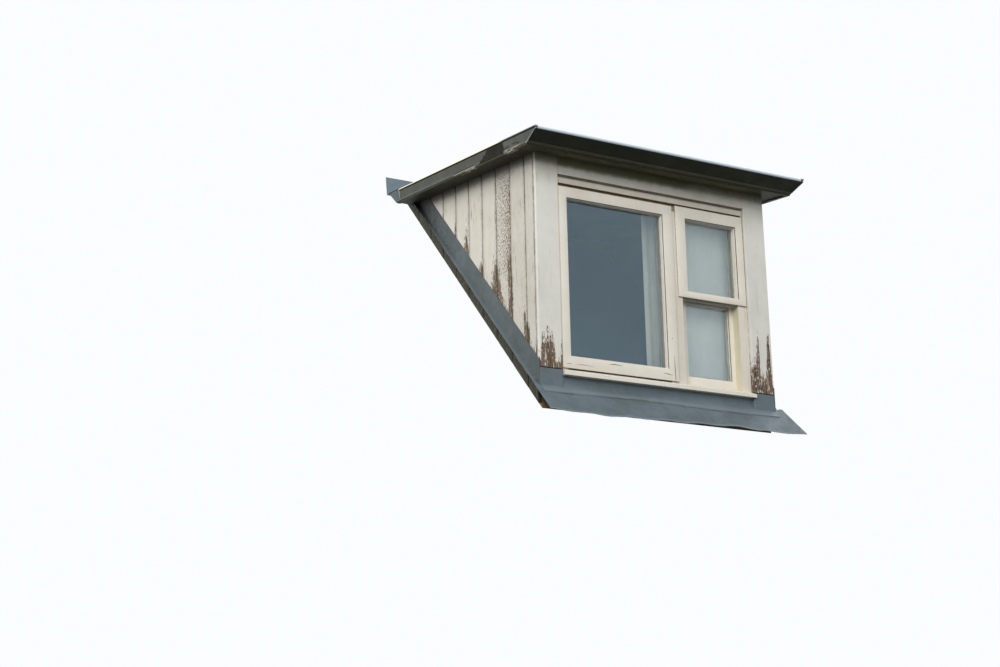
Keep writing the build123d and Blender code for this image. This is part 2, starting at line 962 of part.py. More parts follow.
def flashing(foot_start):
    """A cheek flashing on the right cheek: an upstand with a foot that starts at foot_start."""
    with BuildPart(mode=Mode.PRIVATE) as piece:
        with BuildSketch(side_plane(half)):
            with BuildLine():
                Polyline(
                    on_slope(face_y, upstand_foot),
                    on_slope(foot_start, upstand_foot),
                    on_slope(foot_start, lead_height),
                    on_slope(meet_y(flashing_end_w, lead_height), lead_height),
                    on_slope(meet_y(flashing_end_w, flashing_top), flashing_top),
                    on_slope(face_y, flashing_top),
                    close=True,
                )
            make_face()
        extrude(amount=lead)
        with BuildSketch(side_plane(half)):
            with BuildLine():
                Polyline(
                    on_slope(foot_start, lead_height),
                    on_slope(meet_y(flashing_end_w, lead_height), lead_height),
                    on_slope(meet_y(flashing_end_w, upstand_foot), upstand_foot),
                    on_slope(foot_start, upstand_foot),
                    close=True,
                )
            make_face()
        extrude(amount=flashing_foot)
    return piece.part


with BuildPart() as right_cheek_flashing:
    add(flashing(apron_return + seat_gap))
right_cheek_flashing.part.label = "right_cheek_flashing"

with BuildPart() as left_cheek_flashing:
    mirror(right_cheek_flashing.part, about=Plane.YZ)
left_cheek_flashing.part.label = "left_cheek_flashing"

# Curtains
rail_underside = roof_z(rail_front, ceiling_underside) - rail_height
curtain_foot = sill_height + curtain_lift
rod_height = frame_head + rod_lift
net_left = mullion_left + net_left_lap
net_right = lining_inside - net_side_gap
net_foot = sill_height + net_lift
with BuildPart() as curtain_rail:
    with BuildSketch(side_plane(-lining_inside)):
        with BuildLine():
            Polyline(
                (rail_front, rail_underside),
                (rail_front + rail_depth, rail_underside),
                on_roof(rail_front + rail_depth, ceiling_underside),
                on_roof(rail_front, ceiling_underside),
                close=True,
            )
        make_face()
    extrude(amount=2 * lining_inside)
curtain_rail.part.label = "curtain_rail"

with BuildPart() as curtain:
    with BuildSketch(Plane.XY.offset(curtain_foot)):
        with Locations((curtain_left + curtain_width / 2, rail_front + rail_depth / 2)):
            Rectangle(curtain_width, curtain_thickness)
    extrude(amount=rail_underside - seat_gap - curtain_foot)
curtain.part.label = "curtain"

with BuildPart() as net_rod:
    with BuildSketch(side_plane(-lining_inside)):
        with Locations((rod_front, rod_height)):
            Circle(rod_radius)
    extrude(amount=2 * lining_inside)
net_rod.part.label = "net_rod"

with BuildPart() as net_curtain:
    with BuildSketch(Plane.XY.offset(net_foot)):
        with Locations((between(net_left, net_right), rod_front)):
            Rectangle(net_right - net_left, net_thickness)
    extrude(amount=rod_height - rod_radius - seat_gap - net_foot)
net_curtain.part.label = "net_curtain"

export_step(front_sole_plate.part, "parts/front_sole_plate.step")
export_step(raked_sole_plates.part, "parts/raked_sole_plates.step")
export_step(rear_layer_board.part, "parts/rear_layer_board.step")
export_step(corner_posts.part, "parts/corner_posts.step")
export_step(lintel.part, "parts/lintel.step")
export_step(cheek_studs.part, "parts/cheek_studs.step")
export_step(roof_joists.part, "parts/roof_joists.step")
export_step(tilt_board.part, "parts/tilt_board.step")
export_step(roof_deck.part, "parts/roof_deck.step")
export_step(eaves_board.part, "parts/eaves_board.step")
export_step(fascia_boards.part, "parts/fascia_boards.step")
export_step(front_soffit.part, "parts/front_soffit.step")
export_step(side_soffits.part, "parts/side_soffits.step")
export_step(roof_sheet.part, "parts/roof_sheet.step")
export_step(front_zinc.part, "parts/front_zinc.step")
export_step(right_zinc_edge.part, "parts/right_zinc_edge.step")
export_step(left_zinc_edge.part, "parts/left_zinc_edge.step")
export_step(zinc_end_caps.part, "parts/zinc_end_caps.step")
export_step(rear_flashing.part, "parts/rear_flashing.step")
export_step(right_cheek_boards.part, "parts/right_cheek_boards.step")
export_step(left_cheek_boards.part, "parts/left_cheek_boards.step")
export_step(right_corner_board.part, "parts/right_corner_board.step")
export_step(left_corner_board.part, "parts/left_corner_board.step")
export_step(header_board.part, "parts/header_board.step")
export_step(side_linings.part, "parts/side_linings.step")
export_step(ceiling_lining.part, "parts/ceiling_lining.step")
export_step(window_frame.part, "parts/window_frame.step")
export_step(window_sill.part, "parts/window_sill.step")
export_step(left_sash.part, "parts/left_sash.step")
export_step(left_glass.part, "parts/left_glass.step")
export_step(upper_sash.part, "parts/upper_sash.step")
export_step(upper_glass.part, "parts/upper_glass.step")
export_step(lower_sash.part, "parts/lower_sash.step")
export_step(lower_glass.part, "parts/lower_glass.step")
export_step(sash_beads.part, "parts/sash_beads.step")
export_step(window_board.part, "parts/window_board.step")
export_step(lead_apron.part, "parts/lead_apron.step")
export_step(lead_upstand.part, "parts/lead_upstand.step")
export_step(lead_blocks.part, "parts/lead_blocks.step")
export_step(right_cheek_flashing.part, "parts/right_cheek_flashing.step")
export_step(left_cheek_flashing.part, "parts/left_cheek_flashing.step")
export_step(curtain_rail.part, "parts/curtain_rail.step")
export_step(curtain.part, "parts/curtain.step")
export_step(net_rod.part, "parts/net_rod.step")
export_step(net_curtain.part, "parts/net_curtain.step")
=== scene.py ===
import math
import random

import bmesh
import bpy
from mathutils import Matrix, Vector, noise


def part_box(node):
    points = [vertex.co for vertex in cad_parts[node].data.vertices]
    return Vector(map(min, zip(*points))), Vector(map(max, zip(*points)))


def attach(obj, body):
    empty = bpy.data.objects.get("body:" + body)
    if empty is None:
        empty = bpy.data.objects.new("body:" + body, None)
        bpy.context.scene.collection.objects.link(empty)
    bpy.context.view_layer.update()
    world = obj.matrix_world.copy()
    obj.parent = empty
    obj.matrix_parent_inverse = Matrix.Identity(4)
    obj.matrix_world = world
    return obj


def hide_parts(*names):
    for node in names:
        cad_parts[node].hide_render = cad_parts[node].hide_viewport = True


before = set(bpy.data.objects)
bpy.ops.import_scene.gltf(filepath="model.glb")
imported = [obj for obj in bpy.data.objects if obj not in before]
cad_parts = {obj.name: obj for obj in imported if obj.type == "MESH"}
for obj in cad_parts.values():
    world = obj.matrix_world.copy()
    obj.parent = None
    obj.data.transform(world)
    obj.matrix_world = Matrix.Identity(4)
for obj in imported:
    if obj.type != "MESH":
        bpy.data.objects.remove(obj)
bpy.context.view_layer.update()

# Places of the solids that the dressed pieces follow, in metres
MAIN_PITCH, ROOF_PITCH = math.radians(46.0), math.radians(7.0)
MAIN, MAIN_COS = math.tan(MAIN_PITCH), math.cos(MAIN_PITCH)
ROOF, ROOF_COS = math.tan(ROOF_PITCH), math.cos(ROOF_PITCH)
ROOF_HEIGHT = 1.222
board_low, board_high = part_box("right_corner_board")
BOARD_INSIDE, FACE, BOARD_FOOT = board_low
HALF, CARCASS = board_high.x, board_high.y
CHEEK_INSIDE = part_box("right_cheek_boards")[0].x
CHEEK_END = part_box("right_cheek_boards")[1].y
RIM_Y, EAVES_Y = (corner.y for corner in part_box("front_zinc"))
CAP_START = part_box("zinc_end_caps")[0].y
GUIDE_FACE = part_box("sash_beads")[0].y
BEAD_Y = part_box("roof_sheet")[0].y
HEAD_GROOVE = 1.0
FRAME_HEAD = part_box("left_sash")[1].z - 0.021
FIRST_BOARD, NEXT_BOARD = 0.085, 0.139
JOINTS = [CARCASS + FIRST_BOARD + NEXT_BOARD * row for row in range(9)]

# Levels above the seat, then above the roof zinc, each square to its own slope
CHEEK_FOOT, LEAD_LEVEL, FLASHING_TOP = 0.015, 0.081, 0.168
LEAD = 0.003
LEAD_TOP = LEAD_LEVEL + LEAD
CHEEK_HEAD, BOARD_HEAD, SOFFIT, FLASHING_END = -0.0205, -0.0403, -0.048, -0.0483
EDGE_FALL = 0.046
PATCH_START, PATCH_END = 0.05, 0.19


def slope_z(y, n):
    """Height at depth y of the plane that lies n above the seat."""
    return y * MAIN + n / MAIN_COS


def roof_z(y, w):
    """Height at depth y of the plane that lies w above the roof zinc."""
    return ROOF_HEIGHT + (y - FACE) * ROOF + w / ROOF_COS


def along(value, steps):
    """Straight-line reading of a list of (place, amount) pairs."""
    if value <= steps[0][0]:
        return steps[0][1]
    for (a, low), (b, high) in zip(steps, steps[1:]):
        if value <= b:
            return low + (high - low) * (value - a) / (b - a)
    return steps[-1][1]


def spread(first, last, count):
    return [first + (last - first) * i / (count - 1) for i in range(count)]


def clamp(value):
    return max(0.0, min(1.0, value))


def ripple(x, y, z=0.0, size=0.1):
    """Smooth unevenness between about -1 and 1, with bumps of the given size."""
    return noise.noise(Vector((x, y, z)) / size)


# ---- Shader pieces ----
def tone(red, green, blue):
    """A colour as it is seen, 0 to 255, in the shader's linear terms."""
    def linear(value):
        value /= 255
        return value / 12.92 if value <= 0.04045 else ((value + 0.055) / 1.055) ** 2.4
    return (linear(red), linear(green), linear(blue), 1.0)


def tones(*colours):
    return [tone(*colour) for colour in colours]


class Signal:
    """What a shader node puts out, and the sums done with it."""

    def __init__(self, socket):
        self.socket = socket
        self.tree = socket.id_data

    def __add__(self, other):
        return maths("ADD", self, other)

    def __sub__(self, other):
        return maths("SUBTRACT", self, other)

    def __rsub__(self, other):
        return maths("SUBTRACT", other, self)

    def __mul__(self, other):
        return maths("MULTIPLY", self, other)

    def __abs__(self):
        return maths("ABSOLUTE", self)


def feed(socket, value):
    """Links a signal to an input, or sets the input to a plain value."""
    if isinstance(value, Signal):
        value.tree.links.new(value.socket, socket)
    else:
        socket.default_value = value


def add(tree, kind, wires=None, **settings):
    """A shader node with its settings and inputs; gives its outputs by place and by name."""
    made = tree.nodes.new("ShaderNode" + kind)
    for name, value in settings.items():
        setattr(made, name, value)
    for name, value in (wires or {}).items():
        feed(made.inputs[name], value)
    signals = [Signal(socket) for socket in made.outputs]
    return {**dict(enumerate(signals)), **{signal.socket.name: signal for signal in signals}}


def maths(operation, first, second=0.0, clamped=False):
    tree = (first if isinstance(first, Signal) else second).tree
    return add(tree, "Math", {0: first, 1: second}, operation=operation, use_clamp=clamped)[0]


def fade(value, low, high, start=0.0, end=1.0):
    """A soft step of value from low to high."""
    wires = {"Value": value, "From Min": low, "From Max": high, "To Min": start, "To Max": end}
    return add(value.tree, "MapRange", wires, interpolation_type="SMOOTHSTEP")["Result"]


def within(value, low, high, soft):
    """1 between low and high, with soft ends."""
    return fade(value, low - soft, low + soft) * fade(value, high - soft, high + soft, 1.0, 0.0)


def blend(factor, first, second):
    """Colour first where factor is 0 and second where it is 1."""
    return add(factor.tree, "Mix", {0: factor, 6: first, 7: second}, data_type="RGBA")[2]


def scaled(position, scale):
    return add(position.tree, "VectorMath", {0: position, "Scale": scale}, operation="SCALE")[0]


def parts_of(position):
    return add(position.tree, "SeparateXYZ", {0: position})


def cloud(position, scale, detail=4.0, rough=0.6):
    wires = {"Vector": position, "Scale": scale, "Detail": detail, "Roughness": rough}
    return add(position.tree, "TexNoise", wires)["Fac"]


def streaky(position, by, detail, rough):
    """A cloud whose bumps are as fine along each axis as by says."""
    drawn = add(position.tree, "VectorMath", {0: position, 1: by}, operation="MULTIPLY")[0]
    return cloud(drawn, 1.0, detail, rough)


def new_group(name, inside, inputs, outputs):
    """A node group: inside works out its outputs from its inputs, both in the order given."""
    tree = bpy.data.node_groups.new(name, "ShaderNodeTree")
    for label, value in inputs.items():
        kind = "NodeSocketFloat" if isinstance(value, float) else "NodeSocketVector"
        socket = tree.interface.new_socket(label, in_out="INPUT", socket_type=kind)
        if value is not None:
            socket.default_value = value
    for label in outputs:
        tree.interface.new_socket(label, in_out="OUTPUT", socket_type="NodeSocketFloat")
    given = tree.nodes.new("NodeGroupInput").outputs
    results = inside(*(Signal(given[label]) for label in inputs))
    taken = tree.nodes.new("NodeGroupOutput").inputs
    for label, value in zip(outputs, results):
        feed(taken[label], value)
    return tree


def place(group, position, **wires):
    """A group set into a material, fed with a position and with its own values."""
    return add(position.tree, "Group", {0: position, **wires}, node_tree=group)


def flaking_paint(position, wear, flaking):
    """Paint flaking off bare wood where wear passes one half; its edge breaks into streaks."""
    streaks = streaky(position, (240, 240, 13), 5.0, 0.6) - 0.5
    patches = streaky(position, (75, 75, 30), 5.0, 0.65) - 0.5
    uneven = streaks * 4.0 + patches * 1.4
    level = wear + uneven * fade(wear, 0.0, 0.25)
    left_over = streaky(position, (190, 190, 50), 4.0, 0.65)
    kept = fade(left_over - fade(wear, 0.5, 1.0, 0.49, 0.60), 0.0, 0.02)
    peeled = fade(level, 0.47, 0.53) * (1.0 - kept)
    specks = streaky(position, (200, 200, 90), 3.0, 0.6)
    dotted = fade(specks - (0.80 - flaking * 0.27), 0.0, 0.02)
    bare = maths("MAXIMUM", peeled, dotted)
    return bare, fade(level, 0.36, 0.47) * (1.0 - bare)


def ragged_dirt_and_shade(position, amount, ragged, spacing):
    """Darkening that breaks up where its amount is between none and full; it serves dirt and
    painted shade.
    """
    rough = streaky(position, spacing, 5.0, 0.7) - 0.5
    uneven = rough * (amount * (1.0 - amount)) * (ragged * 8.0)
    return (maths("ADD", amount, uneven, True),)


def hairline_cracks(position, spacing):
    """Hairline cracks that run along a painted board, broken here and there."""
    off_line = abs(streaky(position, spacing, 3.0, 0.55) - 0.5)
    broken = fade(streaky(position, (14, 14, 6), 4.0, 0.6), 0.52, 0.62)
    return ((1.0 - fade(off_line, 0.004, 0.022)) * broken,)


def wood_grain(position, fibres):
    """Wood grain as long fibres, as fine along each axis as fibres says."""
    return (streaky(position, fibres, 6.0, 0.65),)


def weather_marks(position, scale):
    """Soft clouds of dirt, the upright marks that rain leaves, and specks."""
    drawn = scaled(position, scale)
    runs = streaky(drawn, (45, 45, 2.2), 4.0, 0.55)
    return cloud(drawn, 5.0, 5.0, 0.6), runs, fade(cloud(drawn, 160.0, 3.0, 0.7), 0.60, 0.72)


def woven_threads(cloth, count):
    """Woven threads across the cloth's own width and length, and its thick places."""
    parts = parts_of(scaled(cloth, count))
    across, down = (abs(maths("SINE", parts[axis])) for axis in "XY")
    return maths("MAXIMUM", across, down), streaky(cloth, (300, 8, 1), 4.0, 0.6)


flaking = new_group(
    "Flaking paint", flaking_paint, {"Position": None, "Wear": 0.0, "Flaking": 0.0}, ["Bare", "Rim"]
)
dirt_and_shade = new_group(
    "Ragged dirt and shade", ragged_dirt_and_shade,
    {"Position": None, "Amount": 0.0, "Ragged": 1.0, "Spacing": (95.0, 95.0, 40.0)}, ["Dirt"],
)
hairs = new_group(
    "Hairline cracks", hairline_cracks, {"Position": None, "Spacing": (34.0, 34.0, 1.4)}, ["Crack"]
)
grain = new_group(
    "Wood grain", wood_grain, {"Position": None, "Fibres": (90.0, 90.0, 4.0)}, ["Fibre"]
)
weather = new_group(
    "Weather", weather_marks, {"Position": None, "Scale": 1.0}, ["Cloud", "Runs", "Specks"]
)
threads = new_group(
    "Woven threads", woven_threads, {"Cloth": None, "Count": 900.0}, ["Threads", "Slub"]
)


# ---- Finishes ----
def new_material(name, **plain):
    """A material, its tree and the inputs of its shader, the plain ones set."""
    made = bpy.data.materials.new(name)
    made.use_nodes = True
    shader = made.node_tree.nodes["Principled BSDF"].inputs
    for label, value in plain.items():
        shader[label.replace("_", " ")].default_value = value
    return made, made.node_tree, shader


def position_of(tree):
    return add(tree, "TexCoord")["Object"]


def reading(tree, name):
    """An amount that was marked on the piece's points."""
    return add(tree, "Attribute", attribute_name=name)["Fac"]


def bumped(shader, height, strength, distance):
    wires = {"Height": height, "Strength": strength, "Distance": distance}
    feed(shader["Normal"], add(height.tree, "Bump", wires)["Normal"])


SHADE_SPACING = (26.0, 26.0, 40.0)
CRACK_TONE, RIM_TONE, GRIME_AND_SHADE_TONE = tone(128, 112, 94), tone(226, 223, 213), tone(66, 51, 40)
BARE_WOOD, PALE_BARE_WOOD = tone(70, 56, 43), tone(119, 100, 83)
METAL_GRIME_AND_SHADE = tone(38, 40, 38)


def painted(
    name, paint, shaded, fibres, cracks=0.6, soil_and_shade=(120, 116, 92), trimmed=None, sheen=0.3
):
    """Old paint on wood: clouded, rain-marked, cracked along the grain, peeled, soiled, and
    darkened by painted shade where marked.
    """
    made, tree, shader = new_material(name, Specular_IOR_Level=sheen)
    paint, shaded, soil_and_shade = tones(paint, shaded, soil_and_shade)
    position = position_of(tree)
    seen = place(weather, position)
    fibre = place(grain, position, Fibres=fibres)["Fibre"]
    spacing = tuple(34.0 if size > 20 else 1.4 for size in fibres)
    hair = place(hairs, position, Spacing=spacing)["Crack"]
    wear, flakes = reading(tree, "wear"), reading(tree, "flaking")
    peel = place(flaking, position, Wear=wear, Flaking=flakes)
    grimed_and_shaded = place(dirt_and_shade, position, Amount=reading(tree, "grime"))["Dirt"]
    # Painted shade under the eaves, marked as shade, blends the paint towards a dark tone.
    painted_shade_amount = reading(tree, "shade")
    shade = place(dirt_and_shade, position, Amount=painted_shade_amount, Ragged=0.3, Spacing=SHADE_SPACING)
    colour = blend(fade(seen["Cloud"], 0.35, 0.75), paint, shaded)
    colour = blend(fade(seen["Runs"], 0.55, 0.8) * 0.4, colour, shaded)
    colour = blend(hair * cracks, colour, CRACK_TONE)
    colour = blend(peel["Rim"] * 0.5, colour, RIM_TONE)
    bare = blend(fade(fibre, 0.36, 0.62), BARE_WOOD, PALE_BARE_WOOD)
    colour = blend(peel["Bare"], colour, bare)
    # The grime mark darkens joints with dirt and recesses with painted shade.
    colour = blend(grimed_and_shaded, colour, GRIME_AND_SHADE_TONE)
    colour = blend(shade["Dirt"], colour, soil_and_shade)
    if trimmed:
        colour = trimmed(position, colour)
    feed(shader["Base Color"], colour)
    feed(shader["Roughness"], fade(peel["Bare"], 0.0, 1.0, 0.5, 0.85))
    bumped(shader, (1.0 - peel["Bare"]) * 0.6 + fibre * 0.3 - hair * 0.4, 0.6, 0.001)
    return made


def shaded_head_gaps(position, colour):
    """The cuts in the frame's head, over the sashes and under the header board, are darkened:
    painted shade.
    """
    parts = parts_of(position)
    inside = fade(parts["Y"], CARCASS + 0.0002, CARCASS + 0.0012)
    high = fade(parts["Z"], HEAD_GROOVE, HEAD_GROOVE + 0.008)
    return blend(inside * high, colour, tone(168, 152, 124))


def guide_front(position, colour):
    """The guides are yellowed on their sheltered sides only; their fronts match the frame."""
    front = fade(parts_of(position)["Y"], GUIDE_FACE + 0.0005, GUIDE_FACE + 0.0016, 1.0, 0.0)
    return blend(front, colour, tone(216, 209, 198))


def shaded_soffit_ends(position, colour):
    """The front soffit is painted darkest towards its two ends: painted shade."""
    return blend(fade(abs(parts_of(position)["X"]), 0.48, 0.66), colour, tone(72, 70, 54))


def flaked_edge(position, colour):
    """Two runs of old cream paint still cling to the dark edge of the board under the zinc."""
    depth = parts_of(position)["Y"]
    runs = within(depth, -0.10, 0.04, 0.015) + within(depth, 0.34, 0.52, 0.02)
    clinging = fade(streaky(position, (40, 16, 60), 5.0, 0.7), 0.50, 0.54)
    return blend(runs * clinging, colour, tone(176, 170, 146))


def metal_skin(name, base, pale, dark, roughness, metallic=0.0, trimmed=None, sheen=0.4):
    """Old sheet metal: clouded patina, pale bloom, dark spots, shallow dents and painted
    highlights.
    """
    made, tree, shader = new_material(name, Metallic=metallic, Specular_IOR_Level=sheen)
    base, pale, dark = tones(base, pale, dark)
    position = position_of(tree)
    seen = place(weather, position, Scale=1.0)
    fine = place(weather, position, Scale=4.5)
    colour = blend(fade(seen["Cloud"], 0.38, 0.66), dark, base)
    colour = blend(fade(fine["Cloud"], 0.62, 0.78) * 0.7, colour, pale)
    colour = blend(fade(seen["Runs"], 0.58, 0.78) * 0.35, colour, pale)
    colour = blend(fine["Specks"] * 0.25, colour, dark)
    # Painted highlight: marked places are lightened towards the pale tone.
    colour = blend(reading(tree, "bright"), colour, pale)
    # The grime mark darkens with dirt and with painted shade.
    grimed_and_shaded = place(dirt_and_shade, position, Amount=reading(tree, "grime"))
    colour = blend(grimed_and_shaded["Dirt"], colour, METAL_GRIME_AND_SHADE)
    if trimmed:
        colour = trimmed(position, colour)
    feed(shader["Base Color"], colour)
    feed(shader["Roughness"], fade(fine["Cloud"], 0.3, 0.7, roughness - 0.08, roughness + 0.1))
    bumped(shader, seen["Cloud"] * 0.8 + fine["Cloud"] * 0.2, 0.5, 0.004)
    return made


def from_roof(position):
    """Depth, and height above the roof zinc, of each point."""
    parts = parts_of(position)
    level = parts["Z"] - parts["Y"] * ROOF
    return parts["Y"], (level - (ROOF_HEIGHT - FACE * ROOF)) * ROOF_COS


def edge_trim(position, colour):
    """The side edge's rolled rim, painted highlight and shadow line, dark patch, spots and bright
    mitre seam.
    """
    depth, raised = from_roof(position)
    spots = fade(streaky(position, (60, 60, 90), 3.0, 0.6), 0.66, 0.70)
    ragged = streaky(position, (60, 26, 90), 4.0, 0.7)
    torn = within(depth, -0.11, 0.05, 0.015) * fade(ragged, 0.46, 0.52)
    rear_run = within(depth, 0.33, 0.56, 0.02)
    unsure = depth + (cloud(position, 26.0, 4.0, 0.6) - 0.5) * 0.12
    slanted = unsure + raised * 2.2
    patch_end = fade(slanted, PATCH_END - 0.02, PATCH_END + 0.02, 1.0, 0.0)
    patch_start = fade(unsure, PATCH_START - 0.015, PATCH_START + 0.015)
    rolled_highlight = blend(fade(depth, 0.02, 0.10), tone(150, 152, 146), tone(252, 240, 208))
    along_mitre = depth + raised * ((EAVES_Y - RIM_Y) / EDGE_FALL)
    seam = fade(along_mitre, RIM_Y + 0.004, RIM_Y + 0.012, 1.0, 0.0)
    for share, own in (
        (spots * 0.8, tone(52, 50, 44)),
        # painted highlight along the lower lip
        (within(raised, -0.046, -0.036, 0.002) * 0.2, tone(136, 136, 132)),
        # painted shade under the foot
        (fade(raised, -0.0455, -0.0475), tone(48, 45, 38)),
        # painted shadow line above the cream paint that clings near the front
        (torn * within(raised, -0.034, -0.022, 0.003), tone(56, 56, 48)),
        (torn * fade(raised, -0.037, -0.041), tone(150, 150, 136)),
        # painted shadow line above the cream paint that clings near the rear
        (rear_run * within(raised, -0.043, -0.038, 0.001), tone(52, 48, 46)),
        (rear_run * fade(raised, -0.0432, -0.0448), tone(164, 160, 144)),
        (patch_end * patch_start, tone(34, 33, 24)),
        # painted shadow line under the rolled rim
        (within(raised, 0.0025, 0.0085, 0.001), tone(26, 26, 20)),
        # painted highlight on the rim's top
        (fade(raised, 0.0082, 0.0095), rolled_highlight),
        (seam, tone(150, 156, 154)),
    ):
        colour = blend(share, colour, own)
    return colour


def bright_bead(position, colour):
    """The bead along the roof sheet's front edge is painted paler: a painted highlight."""
    bead = fade(parts_of(position)["Y"], BEAD_Y + 0.010, BEAD_Y + 0.016, 1.0, 0.0)
    return blend(bead, colour, tone(190, 202, 214))


def highlighted_eaves_edge(position, colour):
    """The raking front sheet is painted paler along its lower edge: a painted highlight."""
    edge = fade(parts_of(position)["Y"], EAVES_Y - 0.020, EAVES_Y - 0.013)
    return blend(edge, colour, tone(106, 107, 92))


def cap_trim(position, colour):
    """The bright seam where the end cap laps the side edge, and painted shade on its top and its
    tail.
    """
    depth, raised = from_roof(position)
    seam = fade(depth, CAP_START + 0.003, CAP_START + 0.010, 1.0, 0.0)
    colour = blend(seam, colour, tone(166, 174, 174))
    # Painted shade along the cap's top and over its tail.
    colour = blend(fade(raised, 0.0105, 0.0125), colour, tone(38, 44, 52))
    tail = fade(depth - raised * 0.8, CAP_START + 0.105, CAP_START + 0.135)
    return blend(tail, colour, tone(38, 42, 50))


def sawn_timber(name, wood, dark_wood, fibres):
    made, tree, shader = new_material(name, Specular_IOR_Level=0.25)
    wood, dark_wood = tones(wood, dark_wood)
    position = position_of(tree)
    fibre = place(grain, position, Fibres=fibres)["Fibre"]
    seen = place(weather, position, Scale=0.6)
    colour = blend(fade(fibre, 0.35, 0.65), dark_wood, wood)
    feed(shader["Base Color"], blend(seen["Cloud"] * 0.4, colour, dark_wood))
    feed(shader["Roughness"], fade(fibre, 0.3, 0.7, 0.75, 0.9))
    bumped(shader, fibre, 0.4, 0.001)
    return made


def plain_paint(name, paint, shaded):
    made, tree, shader = new_material(name, Specular_IOR_Level=0.35)
    position = position_of(tree)
    seen = place(weather, position, Scale=0.7)
    brushed = place(grain, position, Fibres=(8.0, 8.0, 160.0))
    feed(shader["Base Color"], blend(fade(seen["Cloud"], 0.3, 0.75), tone(*paint), tone(*shaded)))
    feed(shader["Roughness"], fade(seen["Cloud"], 0.3, 0.7, 0.5, 0.65))
    bumped(shader, brushed["Fibre"], 0.05, 0.0004)
    return made


def old_glass(name):
    """Drawn glass, a little wavy and dusty, that mirrors the bluish sky like a double pane."""
    made, tree, shader = new_material(
        name, Roughness=0.02, IOR=1.78, Specular_Tint=tone(206, 237, 255),
        Transmission_Weight=1.0, Metallic=0.0,
    )
    position = position_of(tree)
    seen = place(weather, position, Scale=1.2)
    dusty = blend(fade(seen["Cloud"], 0.3, 0.7), tone(236, 243, 245), tone(244, 249, 249))
    feed(shader["Base Color"], dusty)
    bumped(shader, streaky(position, (2.5, 2.5, 1.2), 1.0, 0.4), 0.12, 0.004)
    return made


def hanging_cloth(name, colour, shaded, weave, sheen, cover=None):
    """Woven cloth; cover says how much the gaps and the threads of an open net hide."""
    made, tree, shader = new_material(
        name, Roughness=0.9, Sheen_Weight=sheen, Specular_IOR_Level=0.2
    )
    colour, shaded = tones(colour, shaded)
    woven = place(threads, add(tree, "UVMap")["UV"], Count=weave)
    mixed = blend(fade(woven["Slub"], 0.35, 0.7), colour, shaded)
    feed(shader["Base Color"], blend(woven["Threads"] * 0.15, mixed, shaded))
    if cover:
        feed(shader["Alpha"], fade(woven["Threads"], 0.55, 0.95, *cover))
    bumped(shader, woven["Threads"], 0.3, 0.0004)
    return made


UPRIGHT, LEVEL, DEEP = (90.0, 90.0, 4.0), (4.0, 90.0, 90.0), (90.0, 4.0, 90.0)
cheek_paint = painted("Cheek paint", (207, 202, 191), (195, 189, 175), UPRIGHT, 0.75, (58, 56, 43))
board_paint = painted("Board paint", (214, 213, 206), (204, 202, 193), UPRIGHT, 0.25)
header_paint = painted("Header paint", (208, 205, 196), (194, 191, 180), LEVEL, 0.2)
window_paint = painted("Window paint", (223, 218, 207), (215, 207, 194), UPRIGHT, 0.08)
frame_paint = painted(
    "Frame paint", (214, 208, 196), (204, 195, 180), LEVEL, 0.06, trimmed=shaded_head_gaps
)
guide_paint = painted(
    "Guide paint", (216, 209, 182), (206, 198, 168), UPRIGHT, 0.1, trimmed=guide_front
)
# The eaves, soffit and fascia paints are dark tones that hold the painted shade under the eaves.
shaded_eaves_paint = painted(
    "Eaves paint, painted shade", (112, 109, 86), (92, 89, 70), DEEP, 0.3, trimmed=shaded_soffit_ends, sheen=0.1
)
shaded_soffit_paint = painted("Side soffit paint, painted shade", (62, 60, 48), (46, 44, 34), DEEP, 0.3, sheen=0.1)
shaded_edge_paint = painted("Edge paint, painted shade", (54, 54, 42), (46, 46, 36), LEVEL, 0.3, sheen=0.1)
shaded_fascia_paint = painted(
    "Fascia paint, painted shade", (62, 60, 48), (46, 44, 34), DEEP, 0.3, trimmed=flaked_edge, sheen=0.1
)
lead_skin = metal_skin("Lead", (93, 106, 112), (118, 128, 134), (80, 92, 97), 0.62)
flashing_lead = metal_skin(
    "Flashing lead", (85, 94, 97), (104, 112, 118), (76, 84, 86), 0.62, sheen=0.2
)
# The raking front zinc is painted dark as painted shade, since it faces down under the eaves.
shaded_front_zinc = metal_skin(
    "Front zinc, painted shade", (59, 62, 50), (69, 72, 62), (50, 52, 43), 0.6, trimmed=highlighted_eaves_edge, sheen=0.08
)
side_zinc = metal_skin(
    "Side zinc", (93, 97, 92), (106, 112, 112), (82, 85, 79), 0.5, trimmed=edge_trim, sheen=0.03
)
cap_zinc = metal_skin(
    "Cap zinc", (96, 103, 104), (114, 122, 126), (84, 90, 91), 0.5, trimmed=cap_trim, sheen=0.06
)
rear_zinc = metal_skin(
    "Rear zinc", (94, 110, 122), (128, 140, 150), (84, 99, 108), 0.5, sheen=0.2
)
roof_zinc = metal_skin(
    "Roof zinc", (112, 118, 122), (128, 136, 141), (100, 106, 110), 0.45, trimmed=bright_bead
)
rod_metal = metal_skin("Rod brass", (170, 146, 92), (190, 168, 116), (120, 98, 58), 0.35, 1.0)
softwood = sawn_timber("Sawn softwood", (176, 148, 112), (134, 106, 76), UPRIGHT)
softwood_level = sawn_timber("Sawn softwood, level", (176, 148, 112), (134, 106, 76), LEVEL)
softwood_deep = sawn_timber("Sawn softwood, raking", (96, 88, 76), (72, 64, 54), DEEP)
inside_paint = plain_paint("Inside paint", (126, 140, 150), (112, 126, 136))
glass = old_glass("Window glass")
curtain_cloth = hanging_cloth("Curtain cloth", (222, 224, 214), (206, 208, 198), 1500.0, 0.1)
net_cloth = hanging_cloth("Net", (234, 237, 235), (224, 228, 226), 2600.0, 0.0, (0.86, 0.97))


